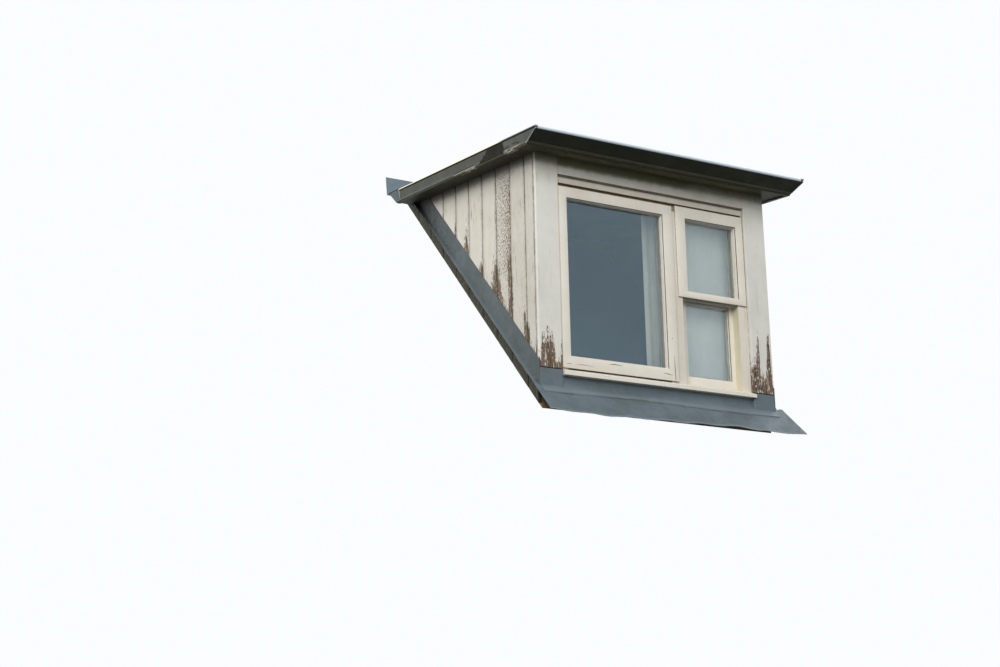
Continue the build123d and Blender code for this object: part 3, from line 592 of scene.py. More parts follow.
# ---- Making the pieces ----
def in_scene(name, data):
    made = bpy.data.objects.new(name, data)
    bpy.context.scene.collection.objects.link(made)
    return made


def turn_out(mesh):
    """Turns all faces outwards."""
    work = bmesh.new()
    work.from_mesh(mesh)
    bmesh.ops.recalc_face_normals(work, faces=work.faces)
    work.to_mesh(mesh)
    work.free()


def mesh_piece(name, shape, material, replaced=None, closed=True, angle=35.0):
    """A piece made of (points, faces), with its finish and the node that it stands for."""
    mesh = bpy.data.meshes.new(name)
    points, faces = shape
    mesh.from_pydata(points, [], faces)
    mesh.validate()
    mesh.shade_smooth()
    mesh.set_sharp_from_angle(angle=math.radians(angle))
    mesh.materials.append(material)
    if closed:
        turn_out(mesh)
    piece = in_scene(name, mesh)
    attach(piece, "root")
    if replaced:
        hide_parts(replaced)
    return piece


def band(a, b, count):
    """Faces between two rings of points, which start at a and at b."""
    return [(a + i, a + (i + 1) % count, b + (i + 1) % count, b + i) for i in range(count)]


def skin(rings):
    """Points and faces of a closed skin through rings with as many points each."""
    count = len(rings[0])
    points = [p for ring in rings for p in ring]
    faces = []
    for r in range(len(rings) - 1):
        faces += band(r * count, (r + 1) * count, count)
    faces.append(tuple(reversed(range(count))))
    faces.append(tuple(range(len(points) - count, len(points))))
    return points, faces


def joined(skins):
    points, faces = [], []
    for own_points, own_faces in skins:
        shift = len(points)
        points += own_points
        faces += [tuple(i + shift for i in face) for face in own_faces]
    return points, faces


def write_marks(piece, name, amounts):
    layer = piece.data.attributes.new(name, "FLOAT", "POINT")
    layer.data.foreach_set("value", amounts)


def mark(piece, **amounts):
    """Writes each amount(x, y, z) on every point of the piece, for its material to read."""
    for name, amount in amounts.items():
        write_marks(piece, name, [amount(*v.co) for v in piece.data.vertices])


# How much painted shade, on the header with soil, darkens the paint below the soffit, by the
# distance down
CHEEK_SHADE = [
    (0.0, 1.0), (0.02, 0.9), (0.035, 0.66), (0.048, 0.25), (0.065, 0.06), (0.08, 0.0),
]
BOARD_SHADE = [
    (0.0, 0.9), (0.02, 0.75), (0.04, 0.5), (0.06, 0.25), (0.09, 0.08), (0.15, 0.0),
]
HEADER_SHADE = [
    (0.0, 1.0), (0.036, 0.98), (0.045, 0.80), (0.057, 0.22), (0.09, 0.08), (0.15, 0.0),
]

# How high the bare wood reaches above the flashing along each cheek, by depth
LEFT_CHEEK_PEEL = [
    (-0.045, 0.06), (-0.02, 0.0), (0.012, 0.0), (0.024, 0.09), (0.046, 0.11), (0.062, 0.15),
    (0.078, 0.05), (0.09, -0.1), (0.166, -0.1), (0.177, 0.33), (0.203, 0.30), (0.210, 0.02),
    (0.268, 0.03), (0.280, 0.13), (0.312, 0.18), (0.350, 0.175), (0.364, 0.06), (0.376, -0.1),
    (0.440, -0.1), (0.455, 0.05), (0.470, 0.145), (0.482, 0.04), (0.492, -0.1), (0.592, -0.1),
    (0.601, 0.05), (0.616, 0.13), (0.640, 0.06), (0.660, -0.1), (0.722, -0.1), (0.738, 0.08),
    (0.752, 0.03), (0.762, -0.1), (1.4, -0.1),
]
RIGHT_CHEEK_PEEL = [
    (-0.045, 0.05), (-0.025, -0.1), (0.020, -0.1), (0.038, 0.12), (0.060, 0.02), (0.075, -0.1),
    (0.150, -0.1), (0.176, 0.16), (0.190, 0.10), (0.205, -0.1), (0.290, -0.1), (0.314, 0.09),
    (0.330, 0.14), (0.345, -0.1), (0.560, -0.1), (0.594, 0.11), (0.606, 0.02), (0.618, -0.1),
    (1.4, -0.1),
]

# Points across a cheek board: share of its width, shift along it, and depth below its face
JOINT_GAP, JOINT_DEPTH = 0.0013, 0.006
BOARD_ACROSS = [
    (0.0, 0.0, JOINT_DEPTH), (0.0, 0.0014, 0.0012), (0.0, 0.0034, 0.0), (0.16, 0.0, 0.0),
    (0.32, 0.0, 0.0), (0.5, 0.0, 0.0), (0.68, 0.0, 0.0), (0.84, 0.0, 0.0),
    (1.0, -0.0034, 0.0), (1.0, -0.0014, 0.0012), (1.0, 0.0, JOINT_DEPTH),
]
CHEEK_ROWS = 72


def cheek_boarding(name, side, peel, flaked, node):
    """Upright boards with open joints; each board lies a little in or out of line."""
    columns = [(CARCASS + 0.0004, 0.0)]
    edges = [CARCASS] + JOINTS + [CHEEK_END - 0.002]
    random.seed(11 if side < 0 else 12)
    for low, high in zip(edges, edges[1:]):
        step, tilt = random.uniform(-0.0006, 0.0002), random.uniform(-0.0004, 0.0004)
        open_left = JOINT_GAP if low in JOINTS else 0.0
        open_right = JOINT_GAP if high in JOINTS else 0.0
        for share, shift, inset in BOARD_ACROSS:
            y = low + open_left + (high - open_right - low - open_left) * share + shift
            if inset == JOINT_DEPTH and not (open_right if share else open_left):
                inset = 0.0
            columns.append((y, inset - step - tilt * (share - 0.5)))
    rings = []
    for y, inset in columns:
        foot = slope_z(y, CHEEK_FOOT)
        head = max(foot + 0.0004, roof_z(y, CHEEK_HEAD))
        outer = [(HALF - inset, y, z) for z in spread(foot, head, CHEEK_ROWS)]
        ring = outer + [(CHEEK_INSIDE, y, head), (CHEEK_INSIDE, y, foot)]
        rings.append([(side * x, y, z) for x, y, z in ring])
    piece = mesh_piece(name, skin(rings), cheek_paint, node)
    flaked_start, flaked_end, flaked_height, flaked_reach = flaked

    def wear(x, y, z):
        height = z - slope_z(y, FLASHING_TOP)
        return clamp(0.5 + (along(y, peel) - height) / 0.085)

    def flakes(x, y, z):
        across = 0.3 if flaked_start - 0.03 < y < flaked_end + 0.05 else 0.0
        if flaked_start < y < flaked_end:
            across = 1.15 - 2.2 * (y - flaked_start)
        height = z - slope_z(y, FLASHING_TOP)
        return across * clamp(1.7 - abs(height - flaked_height) / flaked_reach)

    strength = [1.0] + [random.uniform(0.55, 1.0) for _ in JOINTS]

    def grime(x, y, z):
        if abs(x) < CHEEK_INSIDE + 0.002:
            return 0.0
        if abs(x) < HALF - 0.0022:
            return 1.0
        gaps = zip([CARCASS] + JOINTS, strength)
        near, force = min((abs(y - joint), force) for joint, force in gaps)
        uneven = clamp(0.9 + 0.6 * ripple(side, y * 0.2, z, 0.16))
        return force * clamp(1.5 - near / 0.0042) * uneven

    def shade(x, y, z):
        # Below the lead the boards take the full dark tone.
        if z < slope_z(y, LEAD_LEVEL):
            return 1.0
        # Painted shade: the cheek is darkened a little towards its front end.
        front_painted_shade = 0.13 * clamp((0.42 - y) / 0.35)
        return max(front_painted_shade, along(roof_z(y, SOFFIT) - z, CHEEK_SHADE))

    mark(piece, wear=wear, flaking=flakes, grime=grime, shade=shade)


# The flaked board of each cheek: from and to which depth, and its height and reach
LEFT_FLAKED, RIGHT_FLAKED = (0.181, 0.316, 0.42, 0.30), (0.459, 0.594, 0.25, 0.2)
cheek_boarding("left_cheek_boarding", -1, LEFT_CHEEK_PEEL, LEFT_FLAKED, "left_cheek_boards")
cheek_boarding("right_cheek_boarding", 1, RIGHT_CHEEK_PEEL, RIGHT_FLAKED, "right_cheek_boards")

# How high the bare wood reaches above the foot across each corner board, from its left edge
LEFT_BOARD_PEEL = [
    (0.0, 0.05), (0.007, 0.05), (0.010, 0.13), (0.030, 0.14), (0.040, 0.17), (0.046, 0.20),
    (0.051, 0.13), (0.057, 0.20), (0.062, 0.16), (0.074, 0.13), (0.084, 0.055), (0.106, 0.05),
    (0.114, 0.08), (0.122, 0.12),
]
RIGHT_BOARD_PEEL = [
    (0.0, 0.13), (0.008, 0.15), (0.018, 0.16), (0.028, 0.20), (0.038, 0.29), (0.043, 0.31),
    (0.048, 0.16), (0.055, 0.09), (0.076, 0.09), (0.088, 0.17), (0.094, 0.28), (0.108, 0.31),
    (0.113, 0.20), (0.116, 0.06), (0.122, 0.05),
]


def rounded(x0, x1, y0, y1, radius, across):
    """Corners of an oblong with rounded front arrises and points spread over its front."""
    turn = radius * 0.29
    side = [(y1, 0.0), (y1 - 0.003, 0.0), (y1 - 0.007, 0.0), (y0 + radius, 0.0), (y0 + turn, turn)]
    front = [(x, y0) for x in spread(x0 + radius, x1 - radius, across)]
    left_side = [(x0 + inset, y) for y, inset in side]
    return left_side + front + [(x1 - inset, y) for y, inset in reversed(side)]


def corner_board(name, left, peel, node):
    """A corner board with worn arrises and a ragged foot."""
    outline = rounded(left, left + HALF - BOARD_INSIDE, FACE, CARCASS, 0.0025, 30)
    rings = []
    for share in spread(0.0, 1.0, 100):
        ring = []
        for x, y in outline:
            foot = BOARD_FOOT + 0.0012 + 0.0012 * ripple(x, y, size=0.012)
            ring.append((x, y, foot + (roof_z(y, BOARD_HEAD) - foot) * share ** 1.25))
        rings.append(ring)
    piece = mesh_piece(name, skin(rings), board_paint, node)

    def wear(x, y, z):
        return clamp(0.5 + (along(x - left, peel) - (z - BOARD_FOOT)) / 0.09)

    def grime(x, y, z):
        uneven = clamp(0.9 + 0.6 * ripple(x, y * 0.2, z, 0.1))
        rear = clamp((y - CARCASS + 0.0065) / 0.004) * uneven
        return max(rear, clamp(1.0 - (z - BOARD_FOOT) / 0.004) * 0.8) if y < CARCASS else 0.0

    def shade(x, y, z):
        return along(roof_z(y, SOFFIT) - z, BOARD_SHADE)

    mark(piece, wear=wear, grime=grime, shade=shade)


corner_board("left_corner_boarding", -HALF, LEFT_BOARD_PEEL, "left_corner_board")
corner_board("right_corner_boarding", BOARD_INSIDE, RIGHT_BOARD_PEEL, "right_corner_board")


def nail_heads():
    """Painted-over nail heads in the corner boards and the header; one has rusted."""
    rusted_z, rusted_x = 0.8955, 0.609
    spots = []
    for z in (0.24, 0.52, rusted_z, 1.13):
        outer_x = rusted_x if z == rusted_z else 0.628
        spots += [(side * x, z) for side in (-1, 1) for x in (0.573, outer_x)]
    spots += [(x, 1.135) for x in (-0.45, -0.15, 0.15, 0.45)]
    skins = []
    for x, z in spots:
        rings = []
        for radius, out in ((0.0021, -0.0004), (0.0021, 0.0003), (0.0012, 0.0006)):
            turns = [math.tau * k / 8 for k in range(8)]
            rings.append([
                (x + radius * math.cos(turn), FACE - out, z + radius * math.sin(turn))
                for turn in turns
            ])
        skins.append(skin(rings))
    piece = mesh_piece("nail_heads", joined(skins), board_paint)
    mark(piece, grime=lambda x, y, z: 0.9 if 0.605 < x < 0.613 and 0.89 < z < 0.90 else 0.08)


def header_boarding():
    """The header board between the corner boards, its top darkened under the eaves by painted shade
    and, away from its right end, by soil.
    """
    low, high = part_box("header_board")
    head = roof_z(FACE, BOARD_HEAD)
    rings = []
    for share in spread(0.0, 1.0, 60):
        x = low.x + (high.x - low.x) * share
        foot = low.z + 0.0009 * ripple(x, 2.0, size=0.16)
        arris, rest = foot + 0.0022, head - foot - 0.0022
        outer = [(x, FACE + 0.002, foot), (x, FACE + 0.0006, foot + 0.0006)]
        outer += [(x, FACE, arris + rest * step) for step in spread(0.0, 1.0, 26)]
        rings.append(outer + [(x, CARCASS, roof_z(CARCASS, BOARD_HEAD)), (x, CARCASS, low.z)])
    piece = mesh_piece(
        "header_boarding", skin(rings), header_paint, "header_board"
    )

    def shade(x, y, z):
        # Over most of the header its top is darkened by soil and painted shade; towards the right
        # end by painted shade only.
        mossy = clamp((0.26 - x) / 0.10)
        drop = roof_z(y, SOFFIT) - z + 0.006 * ripple(x, 0.0, size=0.03) * mossy
        return along(drop, BOARD_SHADE) * (1 - mossy) + along(drop, HEADER_SHADE) * mossy

    # Painted shade on the header's underside.
    def grime(x, y, z):
        return 0.8 if FACE + 0.001 < y < CARCASS and z < low.z + 0.0018 else 0.0

    mark(piece, shade=shade, grime=grime)


nail_heads()
header_boarding()


# ---- Sashes ----
def oblong(node):
    low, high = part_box(node)
    return low.x, high.x, low.z, high.z


def grown(shape, out):
    x0, x1, z0, z1 = shape
    return x0 - out, x1 + out, z0 - out, z1 + out


def mitred_frame(name, rings, node):
    """A closed frame through rings of (oblong, depth, dirt and painted shade), mitred at its
    corners.
    """
    side = 30
    points, soil_and_shade = [], []
    for (x0, x1, z0, z1), y, dirt_and_shade_level in rings:
        corners = [(x0, z0), (x1, z0), (x1, z1), (x0, z1), (x0, z0)]
        for (ax, az), (bx, bz) in zip(corners, corners[1:]):
            shares = [step / side for step in range(side)]
            points += [(ax + (bx - ax) * share, y, az + (bz - az) * share) for share in shares]
            soil_and_shade += [dirt_and_shade_level] * side
    count = 4 * side
    faces = []
    for r in range(len(rings)):
        faces += band(r * count, (r + 1) % len(rings) * count, count)
    piece = mesh_piece(name, (points, faces), window_paint, node, angle=30.0)
    write_marks(piece, "grime", soil_and_shade)


PANE_BITE = 0.006


def sash(name, node, pane_node, lip=None, body=None):
    """Stiles and rails with worn arrises, a dirty quirk, a moulding and a rebate for the glass;
    painted shade darkens the rebate by the glass and the back of the lip.
    """
    low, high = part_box(node)
    outline, pane = oblong(node), grown(oblong(pane_node), -PANE_BITE)
    glass_front, glass_back = (corner.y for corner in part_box(pane_node))
    face = low.y
    rings = [
        (outline, face + 0.0018, 0.0), (grown(outline, -0.0005), face + 0.0005, 0.0),
        (grown(outline, -0.0018), face, 0.0),
    ]
    for out, y, dirt_and_shade_level in (
        (0.0014, face, 0.0), (0.0004, face + 0.0004, 0.0), (0.0, face + 0.0014, 0.0),
        (0.0, face + 0.0018, 0.95), (0.0, face + 0.0072, 0.95), (-0.0004, face + 0.0076, 0.1),
        (-0.0026, face + 0.0080, 0.0), (-0.0040, face + 0.0100, 0.0),
        # The rebate's wall next to the glass takes painted shade.
        (-0.0046, glass_front - 0.0040, 0.0), (-0.0052, glass_front - 0.0008, 0.55),
        (-0.0052, glass_front, 0.6), (PANE_BITE, glass_front, 0.0), (PANE_BITE, glass_back, 0.0),
        (-0.003, glass_back, 0.0), (-0.003, high.y - 0.001, 0.0), (-0.002, high.y, 0.0),
    ):
        rings.append((grown(pane, out), y, dirt_and_shade_level))
    if lip:
        # The back of the lip takes painted shade.
        rings += [(body, high.y, 0.0), (body, face + lip, 0.9), (outline, face + lip, 0.9)]
    else:
        rings += [(outline, high.y, 0.0)]
    mitred_frame(name, rings, node)


left = oblong("left_sash")
upper = oblong("upper_sash")
left_body = (left[0] + 0.038, left[1] - 0.038, left[2] + 0.003, FRAME_HEAD - 0.003)
upper_body = (upper[0] + 0.021, upper[1] - 0.017, upper[2] + 0.0002, FRAME_HEAD - 0.003)
sash("left_sash_joinery", "left_sash", "left_glass", 0.010, left_body)
sash("upper_sash_joinery", "upper_sash", "upper_glass", 0.008, upper_body)
sash("lower_sash_joinery", "lower_sash", "lower_glass")


def opened_joints():
    """Fine splits in the left sash's paint: at its foot, its corner joint and its stile."""
    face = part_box("left_sash")[0].y
    foot, right = left[2], left[1]
    pane = grown(oblong("left_glass"), -PANE_BITE)[0]
    # Along each split: its place across, its height above the sash's foot and its half width
    splits = [
        [(right - 0.021, 0.004, 0.0012), (right - 0.0225, 0.06, 0.0016),
         (right - 0.024, 0.125, 0.0004)],
        [(right - 0.090, 0.032, 0.0006), (right - 0.065, 0.030, 0.0016),
         (right - 0.038, 0.026, 0.0005)],
        [(pane + 0.205, 0.040, 0.0004), (pane + 0.235, 0.043, 0.0018),
         (pane + 0.275, 0.040, 0.0004)],
        [(pane + 0.03, 0.020, 0.0003), (pane + 0.06, 0.022, 0.0009),
         (pane + 0.12, 0.019, 0.0003)],
        [(left[0] + 0.020, 0.018, 0.0004), (left[0] + 0.034, 0.021, 0.0011),
         (left[0] + 0.046, 0.020, 0.0004)],
        [(right - 0.030, 0.205, 0.0018), (right - 0.030, 0.209, 0.0018)],
    ]
    near, far = face - 0.0003, face + 0.0006
    skins = []
    for split in splits:
        line = [(x, foot + above, wide) for x, above, wide in split]
        rings = []
        for i, (x, z, wide) in enumerate(line):
            before, after = line[max(0, i - 1)], line[min(len(line) - 1, i + 1)]
            run = Vector((after[0] - before[0], after[1] - before[1])).normalized()
            dx, dz = -run.y * wide, run.x * wide
            rings.append([
                (x - dx, near, z - dz), (x + dx, near, z + dz),
                (x + dx, far, z + dz), (x - dx, far, z - dz),
            ])
        skins.append(skin(rings))
    mesh_piece("opened_joints", joined(skins), softwood_deep)


opened_joints()

# ---- Lead ----
# Depth of the apron's wavy lower edge, and of the edge of the sheet that laps it, by x
APRON_EDGE = [
    (-0.687, -0.194), (-0.437, -0.203), (-0.2, -0.196), (0.116, -0.189), (0.35, -0.180),
    (0.538, -0.191), (0.748, -0.183),
]
LAP_EDGE = [
    (-0.681, -0.101), (-0.447, -0.097), (-0.137, -0.089), (0.05, -0.093), (0.274, -0.098),
    (0.514, -0.098), (0.66, -0.096),
]
APRON_LEFT, APRON_RIGHT, APRON_SPLAY = -0.687, 0.722, 0.026
TILE_WIDTH, FIRST_CREST = 0.2025, -0.684
FLASHING_REACH = 0.690
UPSTAND_TOP = 0.1138


def apron_n(x, y):
    """How far the apron's upper face lies above the seat; each crest of the tiles lifts it."""
    reach = clamp((-0.100 - y) / 0.095)
    crests = math.cos(math.tau * (x - FIRST_CREST) / TILE_WIDTH)
    return LEAD_TOP + reach * (0.0016 * crests + 0.0012 * ripple(x, y, size=0.07))


def lead_apron():
    rings = []
    for share in spread(0.0, 1.0, 150):
        top = -0.0402 if share < 0.01 or share > 0.985 else -0.0455
        ring = []
        for fall in spread(0.0, 1.0, 26):
            x = APRON_LEFT + (APRON_RIGHT + APRON_SPLAY * fall - APRON_LEFT) * share
            edge = along(x, APRON_EDGE) + 0.0012 * ripple(x, 0.0, size=0.03)
            y = top + (edge - top) * fall
            ring.append((x, y, slope_z(y, apron_n(x, y) - (0.0005 if fall == 1.0 else 0.0))))
        under = [(x, y, slope_z(y, apron_n(x, y) - LEAD)) for x, y, z in reversed(ring)]
        rings.append(ring + under)
    piece = mesh_piece("dressed_lead_apron", skin(rings), lead_skin, "lead_apron")

    # Painted highlight along the apron's lower edge.
    def bright(x, y, z):
        return clamp(1.0 - (y - along(x, APRON_EDGE)) / 0.006) * 0.8

    # A dark line runs just in front of the edge of the sheet that laps the apron.
    def grime(x, y, z):
        return clamp(1.0 - abs(y - along(x, LAP_EDGE) + 0.002) / 0.004) * 0.5

    mark(piece, bright=bright, grime=grime)


def lead_upstand():
    """The sheet behind the sill: its face stands up, its foot laps the apron with a wavy edge."""
    def ring_at(x, whole):
        lap = along(x, LAP_EDGE) + 0.001 * ripple(x, 3.0, size=0.04)
        lift = 0.0008 * (1 + ripple(x, 5.0, size=0.05))
        outer = []
        if whole:
            bend = slope_z(CARCASS - LEAD, LEAD_TOP + LEAD)
            for z in (UPSTAND_TOP, 0.10, 0.09, bend + 0.012, bend + 0.005, bend + 0.0015):
                bow = 0.0012 * ripple(x, z, 7.0, 0.07) * (UPSTAND_TOP - z) / 0.06
                outer.append((x, CARCASS - LEAD - 0.0004 + bow, z))
        start = CARCASS - LEAD - 0.004 if whole else FACE - 0.0001
        for y in spread(start, lap, 6):
            rise = lift * clamp((start - y) / 0.03)
            outer.append((x, y, slope_z(y, LEAD_TOP + LEAD + rise)))
        outer.append((x, lap, slope_z(lap, LEAD_TOP + lift)))
        if whole:
            back = CARCASS - 0.0002
            return outer + [(x, back, slope_z(CARCASS, LEAD_TOP)), (x, back, UPSTAND_TOP)]
        return outer + [(x, start, slope_z(start, LEAD_TOP))]

    inside = BOARD_INSIDE - 0.0002
    skins = [skin([ring_at(x, True) for x in spread(-inside, inside, 90)])]
    for side in (-1, 1):
        xs = spread(side * inside, side * HALF, 14)
        skins.append(skin([ring_at(x, False) for x in (xs if side > 0 else reversed(xs))]))
    piece = mesh_piece(
        "dressed_lead_upstand", joined(skins), lead_skin, "lead_upstand"
    )

    # Painted highlight on the front of the foot and on the top of the upstand.
    def bright(x, y, z):
        foot = y < -0.052
        return clamp((-0.066 - y) / 0.02) * 0.45 if foot else clamp((z - 0.09) / 0.02) * 0.6

    mark(piece, bright=bright)


def lead_blocks():
    """Lead folded round the blocks under the corner boards."""
    skins = []
    outline = rounded(BOARD_INSIDE + 0.0003, HALF, FACE, CARCASS, 0.004, 14)
    for side in (-1, 1):
        rings = []
        for share in spread(0.0, 1.0, 16):
            ring = []
            for x, y in outline:
                foot = slope_z(y, LEAD_TOP)
                head = BOARD_FOOT - 0.0028 - 0.0006 * ripple(x, side, size=0.02)
                z = foot + (head - foot) * share
                if y < FACE + 0.003:
                    bulge = math.sin(math.pi * share)
                    puff = 0.0009 * ripple(x * side, share * 0.2, side, 0.035) * bulge
                    y = max(y + puff, FACE)
                ring.append((side * x, y, z))
            rings.append(ring)
        skins.append(skin(rings))
    piece = mesh_piece(
        "dressed_lead_blocks", joined(skins), lead_skin, "lead_blocks"
    )
    # Painted highlight along the blocks' inner edges.
    mark(piece, bright=lambda x, y, z: 0.5 if abs(abs(x) - BOARD_INSIDE) < 0.004 else 0.0)


def cheek_flashing(name, side, node):
    """The lead beside the cheek: an upstand, a rounded fold and a foot dressed over the tiles."""
    last = (roof_z(0.0, FLASHING_END) - slope_z(0.0, LEAD_TOP)) / (MAIN - ROOF)

    def ring_at(y, foot):
        base = slope_z(y, LEAD_TOP)
        top = max(min(slope_z(y, FLASHING_TOP), roof_z(y, FLASHING_END)), base + 0.0008)
        bow = 0.0012 * ripple(0.0, y, size=0.09)
        outer = [(HALF + 0.0006, y, top), (HALF + LEAD * 0.9, y, top - 0.0002)]
        for share in (0.25, 0.5, 0.75):
            x = HALF + LEAD + bow * math.sin(math.pi * share)
            outer.append((x, y, top + (base - top) * share))
        if foot:
            wave = 0.0025 * ripple(side, y, size=0.07)
            reach = FLASHING_REACH + 0.003 * ripple(y, side, size=0.05)
            fold, edge = min(0.006, (top - base) * 0.3), base + wave * 1.4
            outer += [(HALF + LEAD, y, base + fold), (HALF + LEAD + 0.0016, y, base + fold * 0.3)]
            outer += [(HALF + LEAD + 0.005, y, base), (HALF + 0.018, y, base + wave)]
            outer += [(reach - 0.002, y, edge), (reach, y, edge - 0.001)]
            outer += [(reach - 0.001, y, edge - LEAD), (HALF + 0.006, y, base - LEAD)]
            outer += [(HALF + 0.0001, y, base - LEAD)]
        else:
            outer += [(HALF + LEAD, y, base), (HALF + 0.0001, y, base)]
        return [(side * x, y, z) for x, y, z in outer]

    front = skin([ring_at(y, False) for y in spread(FACE + 0.0003, -0.0399, 5)])
    rest = skin([ring_at(y, True) for y in spread(-0.0395, last - 0.001, 170)])
    piece = mesh_piece(name, joined([front, rest]), flashing_lead, node)
    # Painted highlight on the foot beyond the fold; painted shade darkens the flashing towards its
    # upper, rear end.
    mark(piece, bright=lambda x, y, z: clamp((abs(x) - 0.664) / 0.012) * 0.6)
    mark(piece, grime=lambda x, y, z: clamp((y - 0.72) / 0.42))


lead_apron()
lead_upstand()
lead_blocks()
cheek_flashing("dressed_left_flashing", -1, "left_cheek_flashing")
cheek_flashing("dressed_right_flashing", 1, "right_cheek_flashing")


# ---- Cloth ----
def hung_sheet(name, across, upright, y, depth, folds, seed, material, node, flat):
    """A gathered sheet: deep folds at its head that wander and open towards its foot."""
    random.seed(seed)
    swing = [random.uniform(0.0, math.tau) for _ in range(6)]
    (left, right), (foot, head) = across, upright
    columns, rows = folds * 12, 40
    points, maps, faces = [], [], []
    for r in range(rows):
        down = 1.0 - r / (rows - 1)
        up = 1.0 - down
        for c in range(columns):
            share = c / (columns - 1)
            wander = 0.35 * math.sin(share * 7.0 + swing[0] + down * 1.3)
            wander += 0.2 * math.sin(share * 17.0 + swing[1] - down)
            phase = math.tau * folds * share + wander * 2.4 + swing[2]
            size = depth * (0.75 + 0.25 * math.sin(share * 11.0 + swing[3])) * (0.8 + 0.2 * down)
            out = size * math.sin(phase)
            out += depth * 0.12 * math.sin(share * 29.0 + down * 5.0 + swing[4])
            side = (right - left) / columns * 0.5 * math.sin(2 * phase)
            x = left + (right - left) * share + side * (1 - abs(2 * share - 1) ** 6)
            points.append((min(right, max(left, x)), y + out, foot + (head - foot) * up))
            maps.append((share * flat[0], up * flat[1]))
            if r < rows - 1 and c < columns - 1:
                a = r * columns + c
                faces.append((a, a + 1, a + columns + 1, a + columns))
    piece = mesh_piece(name, (points, faces), material, node, closed=False, angle=80.0)
    cloth = piece.data.uv_layers.new(name="Cloth")
    for loop in piece.data.loops:
        cloth.data[loop.index].uv = maps[loop.vertex_index]


hung_sheet(
    "hung_curtain", (0.022, 0.168), (0.156, 1.102), 0.084, 0.0040, 3, 3,
    curtain_cloth, "curtain", (0.155, 0.95),
)
hung_sheet(
    "hung_net", (0.110, 0.554), (0.152, 1.0415), 0.060, 0.0016, 5, 5,
    net_cloth, "net_curtain", (0.45, 0.89),
)


# ---- Finishes of the carried-over solids ----
def finish_node(name, material, arris):
    """The node's finish, and slightly rounded arrises where they show."""
    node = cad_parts[name]
    node.material_slots[0].material = material
    if arris:
        weld = node.modifiers.new("Weld", "WELD")
        weld.merge_threshold = 0.00002
        edge = node.modifiers.new("Arris", "BEVEL")
        edge.width = arris
        edge.segments = 2
        edge.limit_method = "ANGLE"
        edge.angle_limit = math.radians(40)
        edge.harden_normals = True


for finish, worn, names in (
    (softwood, 0.0, ("corner_posts", "cheek_studs")),
    (softwood_level, 0.0, ("front_sole_plate", "lintel", "roof_deck", "tilt_board")),
    (softwood_deep, 0.0, ("raked_sole_plates", "roof_joists", "rear_layer_board")),
    (inside_paint, 0.001, ("side_linings", "ceiling_lining", "window_board", "curtain_rail")),
    (shaded_eaves_paint, 0.0, ("front_soffit",)),
    (shaded_soffit_paint, 0.0, ("side_soffits",)),
    (shaded_edge_paint, 0.0, ("eaves_board",)),
    (shaded_fascia_paint, 0.0, ("fascia_boards",)),
    (frame_paint, 0.0012, ("window_frame",)),
    (window_paint, 0.0015, ("window_sill",)),
    (guide_paint, 0.001, ("sash_beads",)),
    (glass, 0.0, ("left_glass", "upper_glass", "lower_glass")),
    (shaded_front_zinc, 0.0, ("front_zinc",)),
    (side_zinc, 0.0, ("right_zinc_edge", "left_zinc_edge")),
    (cap_zinc, 0.0, ("zinc_end_caps",)),
    (rear_zinc, 0.0, ("rear_flashing",)),
    (roof_zinc, 0.0, ("roof_sheet",)),
    (rod_metal, 0.0, ("net_rod",)),
):
    for name in names:
        finish_node(name, finish, worn)


# ---- Camera, light, floor ----
FLOOR_Z, FLOOR_REACH = -2.2, 30


def camera():
    """The eye stands low and to the left of the dormer and looks up at its front and cheek."""
    heading, climb, roll = (math.radians(a) for a in (29.17, 15.75, -1.03))
    eye = in_scene("camera", bpy.data.cameras.new("camera"))
    eye.data.sensor_width = 36.0
    eye.data.lens = 58.9
    eye.data.clip_end = 200.0
    aim = Matrix.Rotation(-heading, 4, "Z") @ Matrix.Rotation(math.radians(90) + climb, 4, "X")
    stand = Matrix.Translation((-4.277, -6.183, -1.7085))
    eye.matrix_world = stand @ aim @ Matrix.Rotation(roll, 4, "Z")
    bpy.context.scene.camera = eye


def lamp(name, stand, target, size, power, colour):
    light = in_scene(name, bpy.data.lights.new(name, "AREA"))
    light.data.shape = "SQUARE"
    light.data.size = size
    light.data.energy = power
    light.data.color = colour
    light.location = stand
    light.rotation_mode = "QUATERNION"
    light.rotation_quaternion = (Vector(target) - Vector(stand)).to_track_quat("-Z", "Y")


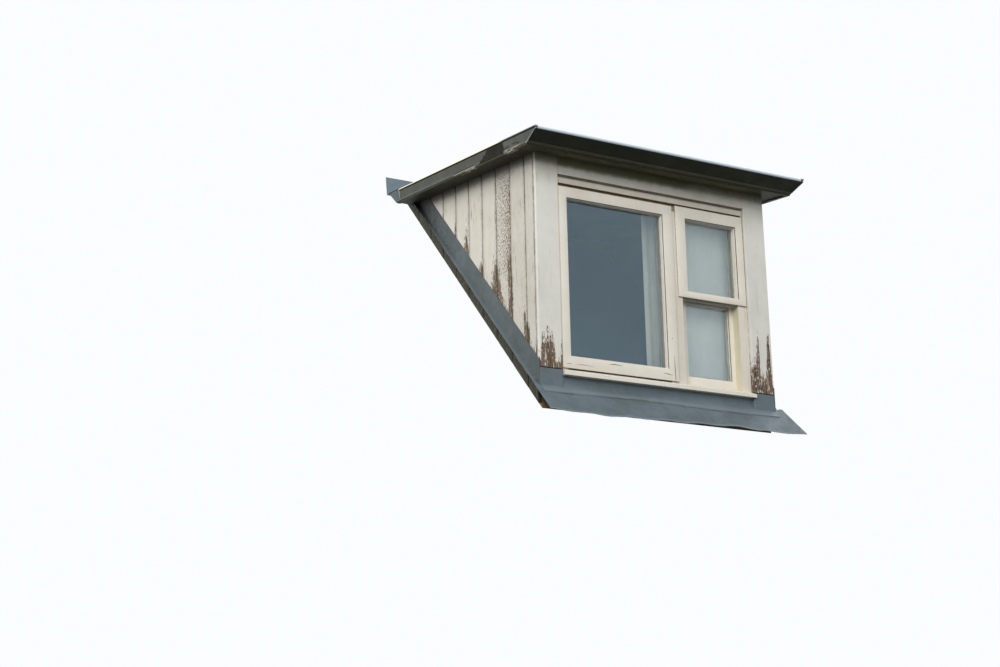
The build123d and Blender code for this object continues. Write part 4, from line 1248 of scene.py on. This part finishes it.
def seen_rays(tree):
    """1 for rays that show the backdrop: to the eye, mirrored, or through glass."""
    rays = add(tree, "LightPath")
    mirrored_or_through = maths("MAXIMUM", rays["Is Glossy Ray"], rays["Is Transmission Ray"])
    return maths("MAXIMUM", rays["Is Camera Ray"], mirrored_or_through)


def stage_card(name, corners, material):
    """A flat card that isn't part of the object."""
    mesh = bpy.data.meshes.new(name)
    mesh.from_pydata(corners, [], [(0, 1, 2, 3)])
    mesh.materials.append(material)
    card = in_scene(name, mesh)
    return card


def surroundings():
    world = bpy.data.worlds.new("studio")
    bpy.context.scene.world = world
    world.use_nodes = True
    tree = world.node_tree
    tree.nodes.clear()
    light = add(tree, "Background", {"Color": (0.93, 0.97, 1.0, 1.0), "Strength": 0.62})[0]
    backdrop = add(tree, "Background", {"Color": (0.96, 0.98, 1.0, 1.0), "Strength": 1.0})[0]
    either = add(tree, "MixShader", {0: seen_rays(tree), 1: light, 2: backdrop})[0]
    add(tree, "OutputWorld", {"Surface": either})

    made, tree, shader = new_material("Floor", Roughness=0.9, Specular_IOR_Level=0.0)
    tint = blend(seen_rays(tree), tone(70, 72, 70), tone(236, 236, 234))
    feed(shader["Base Color"], tint)
    ends = ((-1, -1), (1, -1), (1, 1), (-1, 1))
    stage_card("floor", [(x * FLOOR_REACH, y * FLOOR_REACH, FLOOR_Z) for x, y in ends], made)


def dark_attic():
    """A dark card under the open seat stands for the unlit attic; only the panes look onto it."""
    made = new_material(
        "Dark attic", Base_Color=tone(60, 78, 90), Roughness=1.0, Specular_IOR_Level=0.0
    )[0]
    ends = ((-0.60, 0.03), (0.60, 0.03), (0.60, 1.20), (-0.60, 1.20))
    card = stage_card("dark_attic", [(x, y, slope_z(y, -0.002)) for x, y in ends], made)
    card.visible_camera = False


camera()
dark_attic()
lamp("key", (-6.4, -8.4, 6.1), (0.0, 0.2, 0.7), 7.0, 1250.0, (1.0, 0.985, 0.96))
lamp("left", (-4.2, 3.2, 2.6), (-0.6, 0.5, 0.9), 3.5, 105.0, (1.0, 0.985, 0.96))
lamp("fill", (5.0, 3.0, 4.5), (0.0, 0.6, 0.8), 4.0, 160.0, (0.95, 0.98, 1.0))
surroundings()
bpy.context.scene.view_settings.view_transform = "Standard"
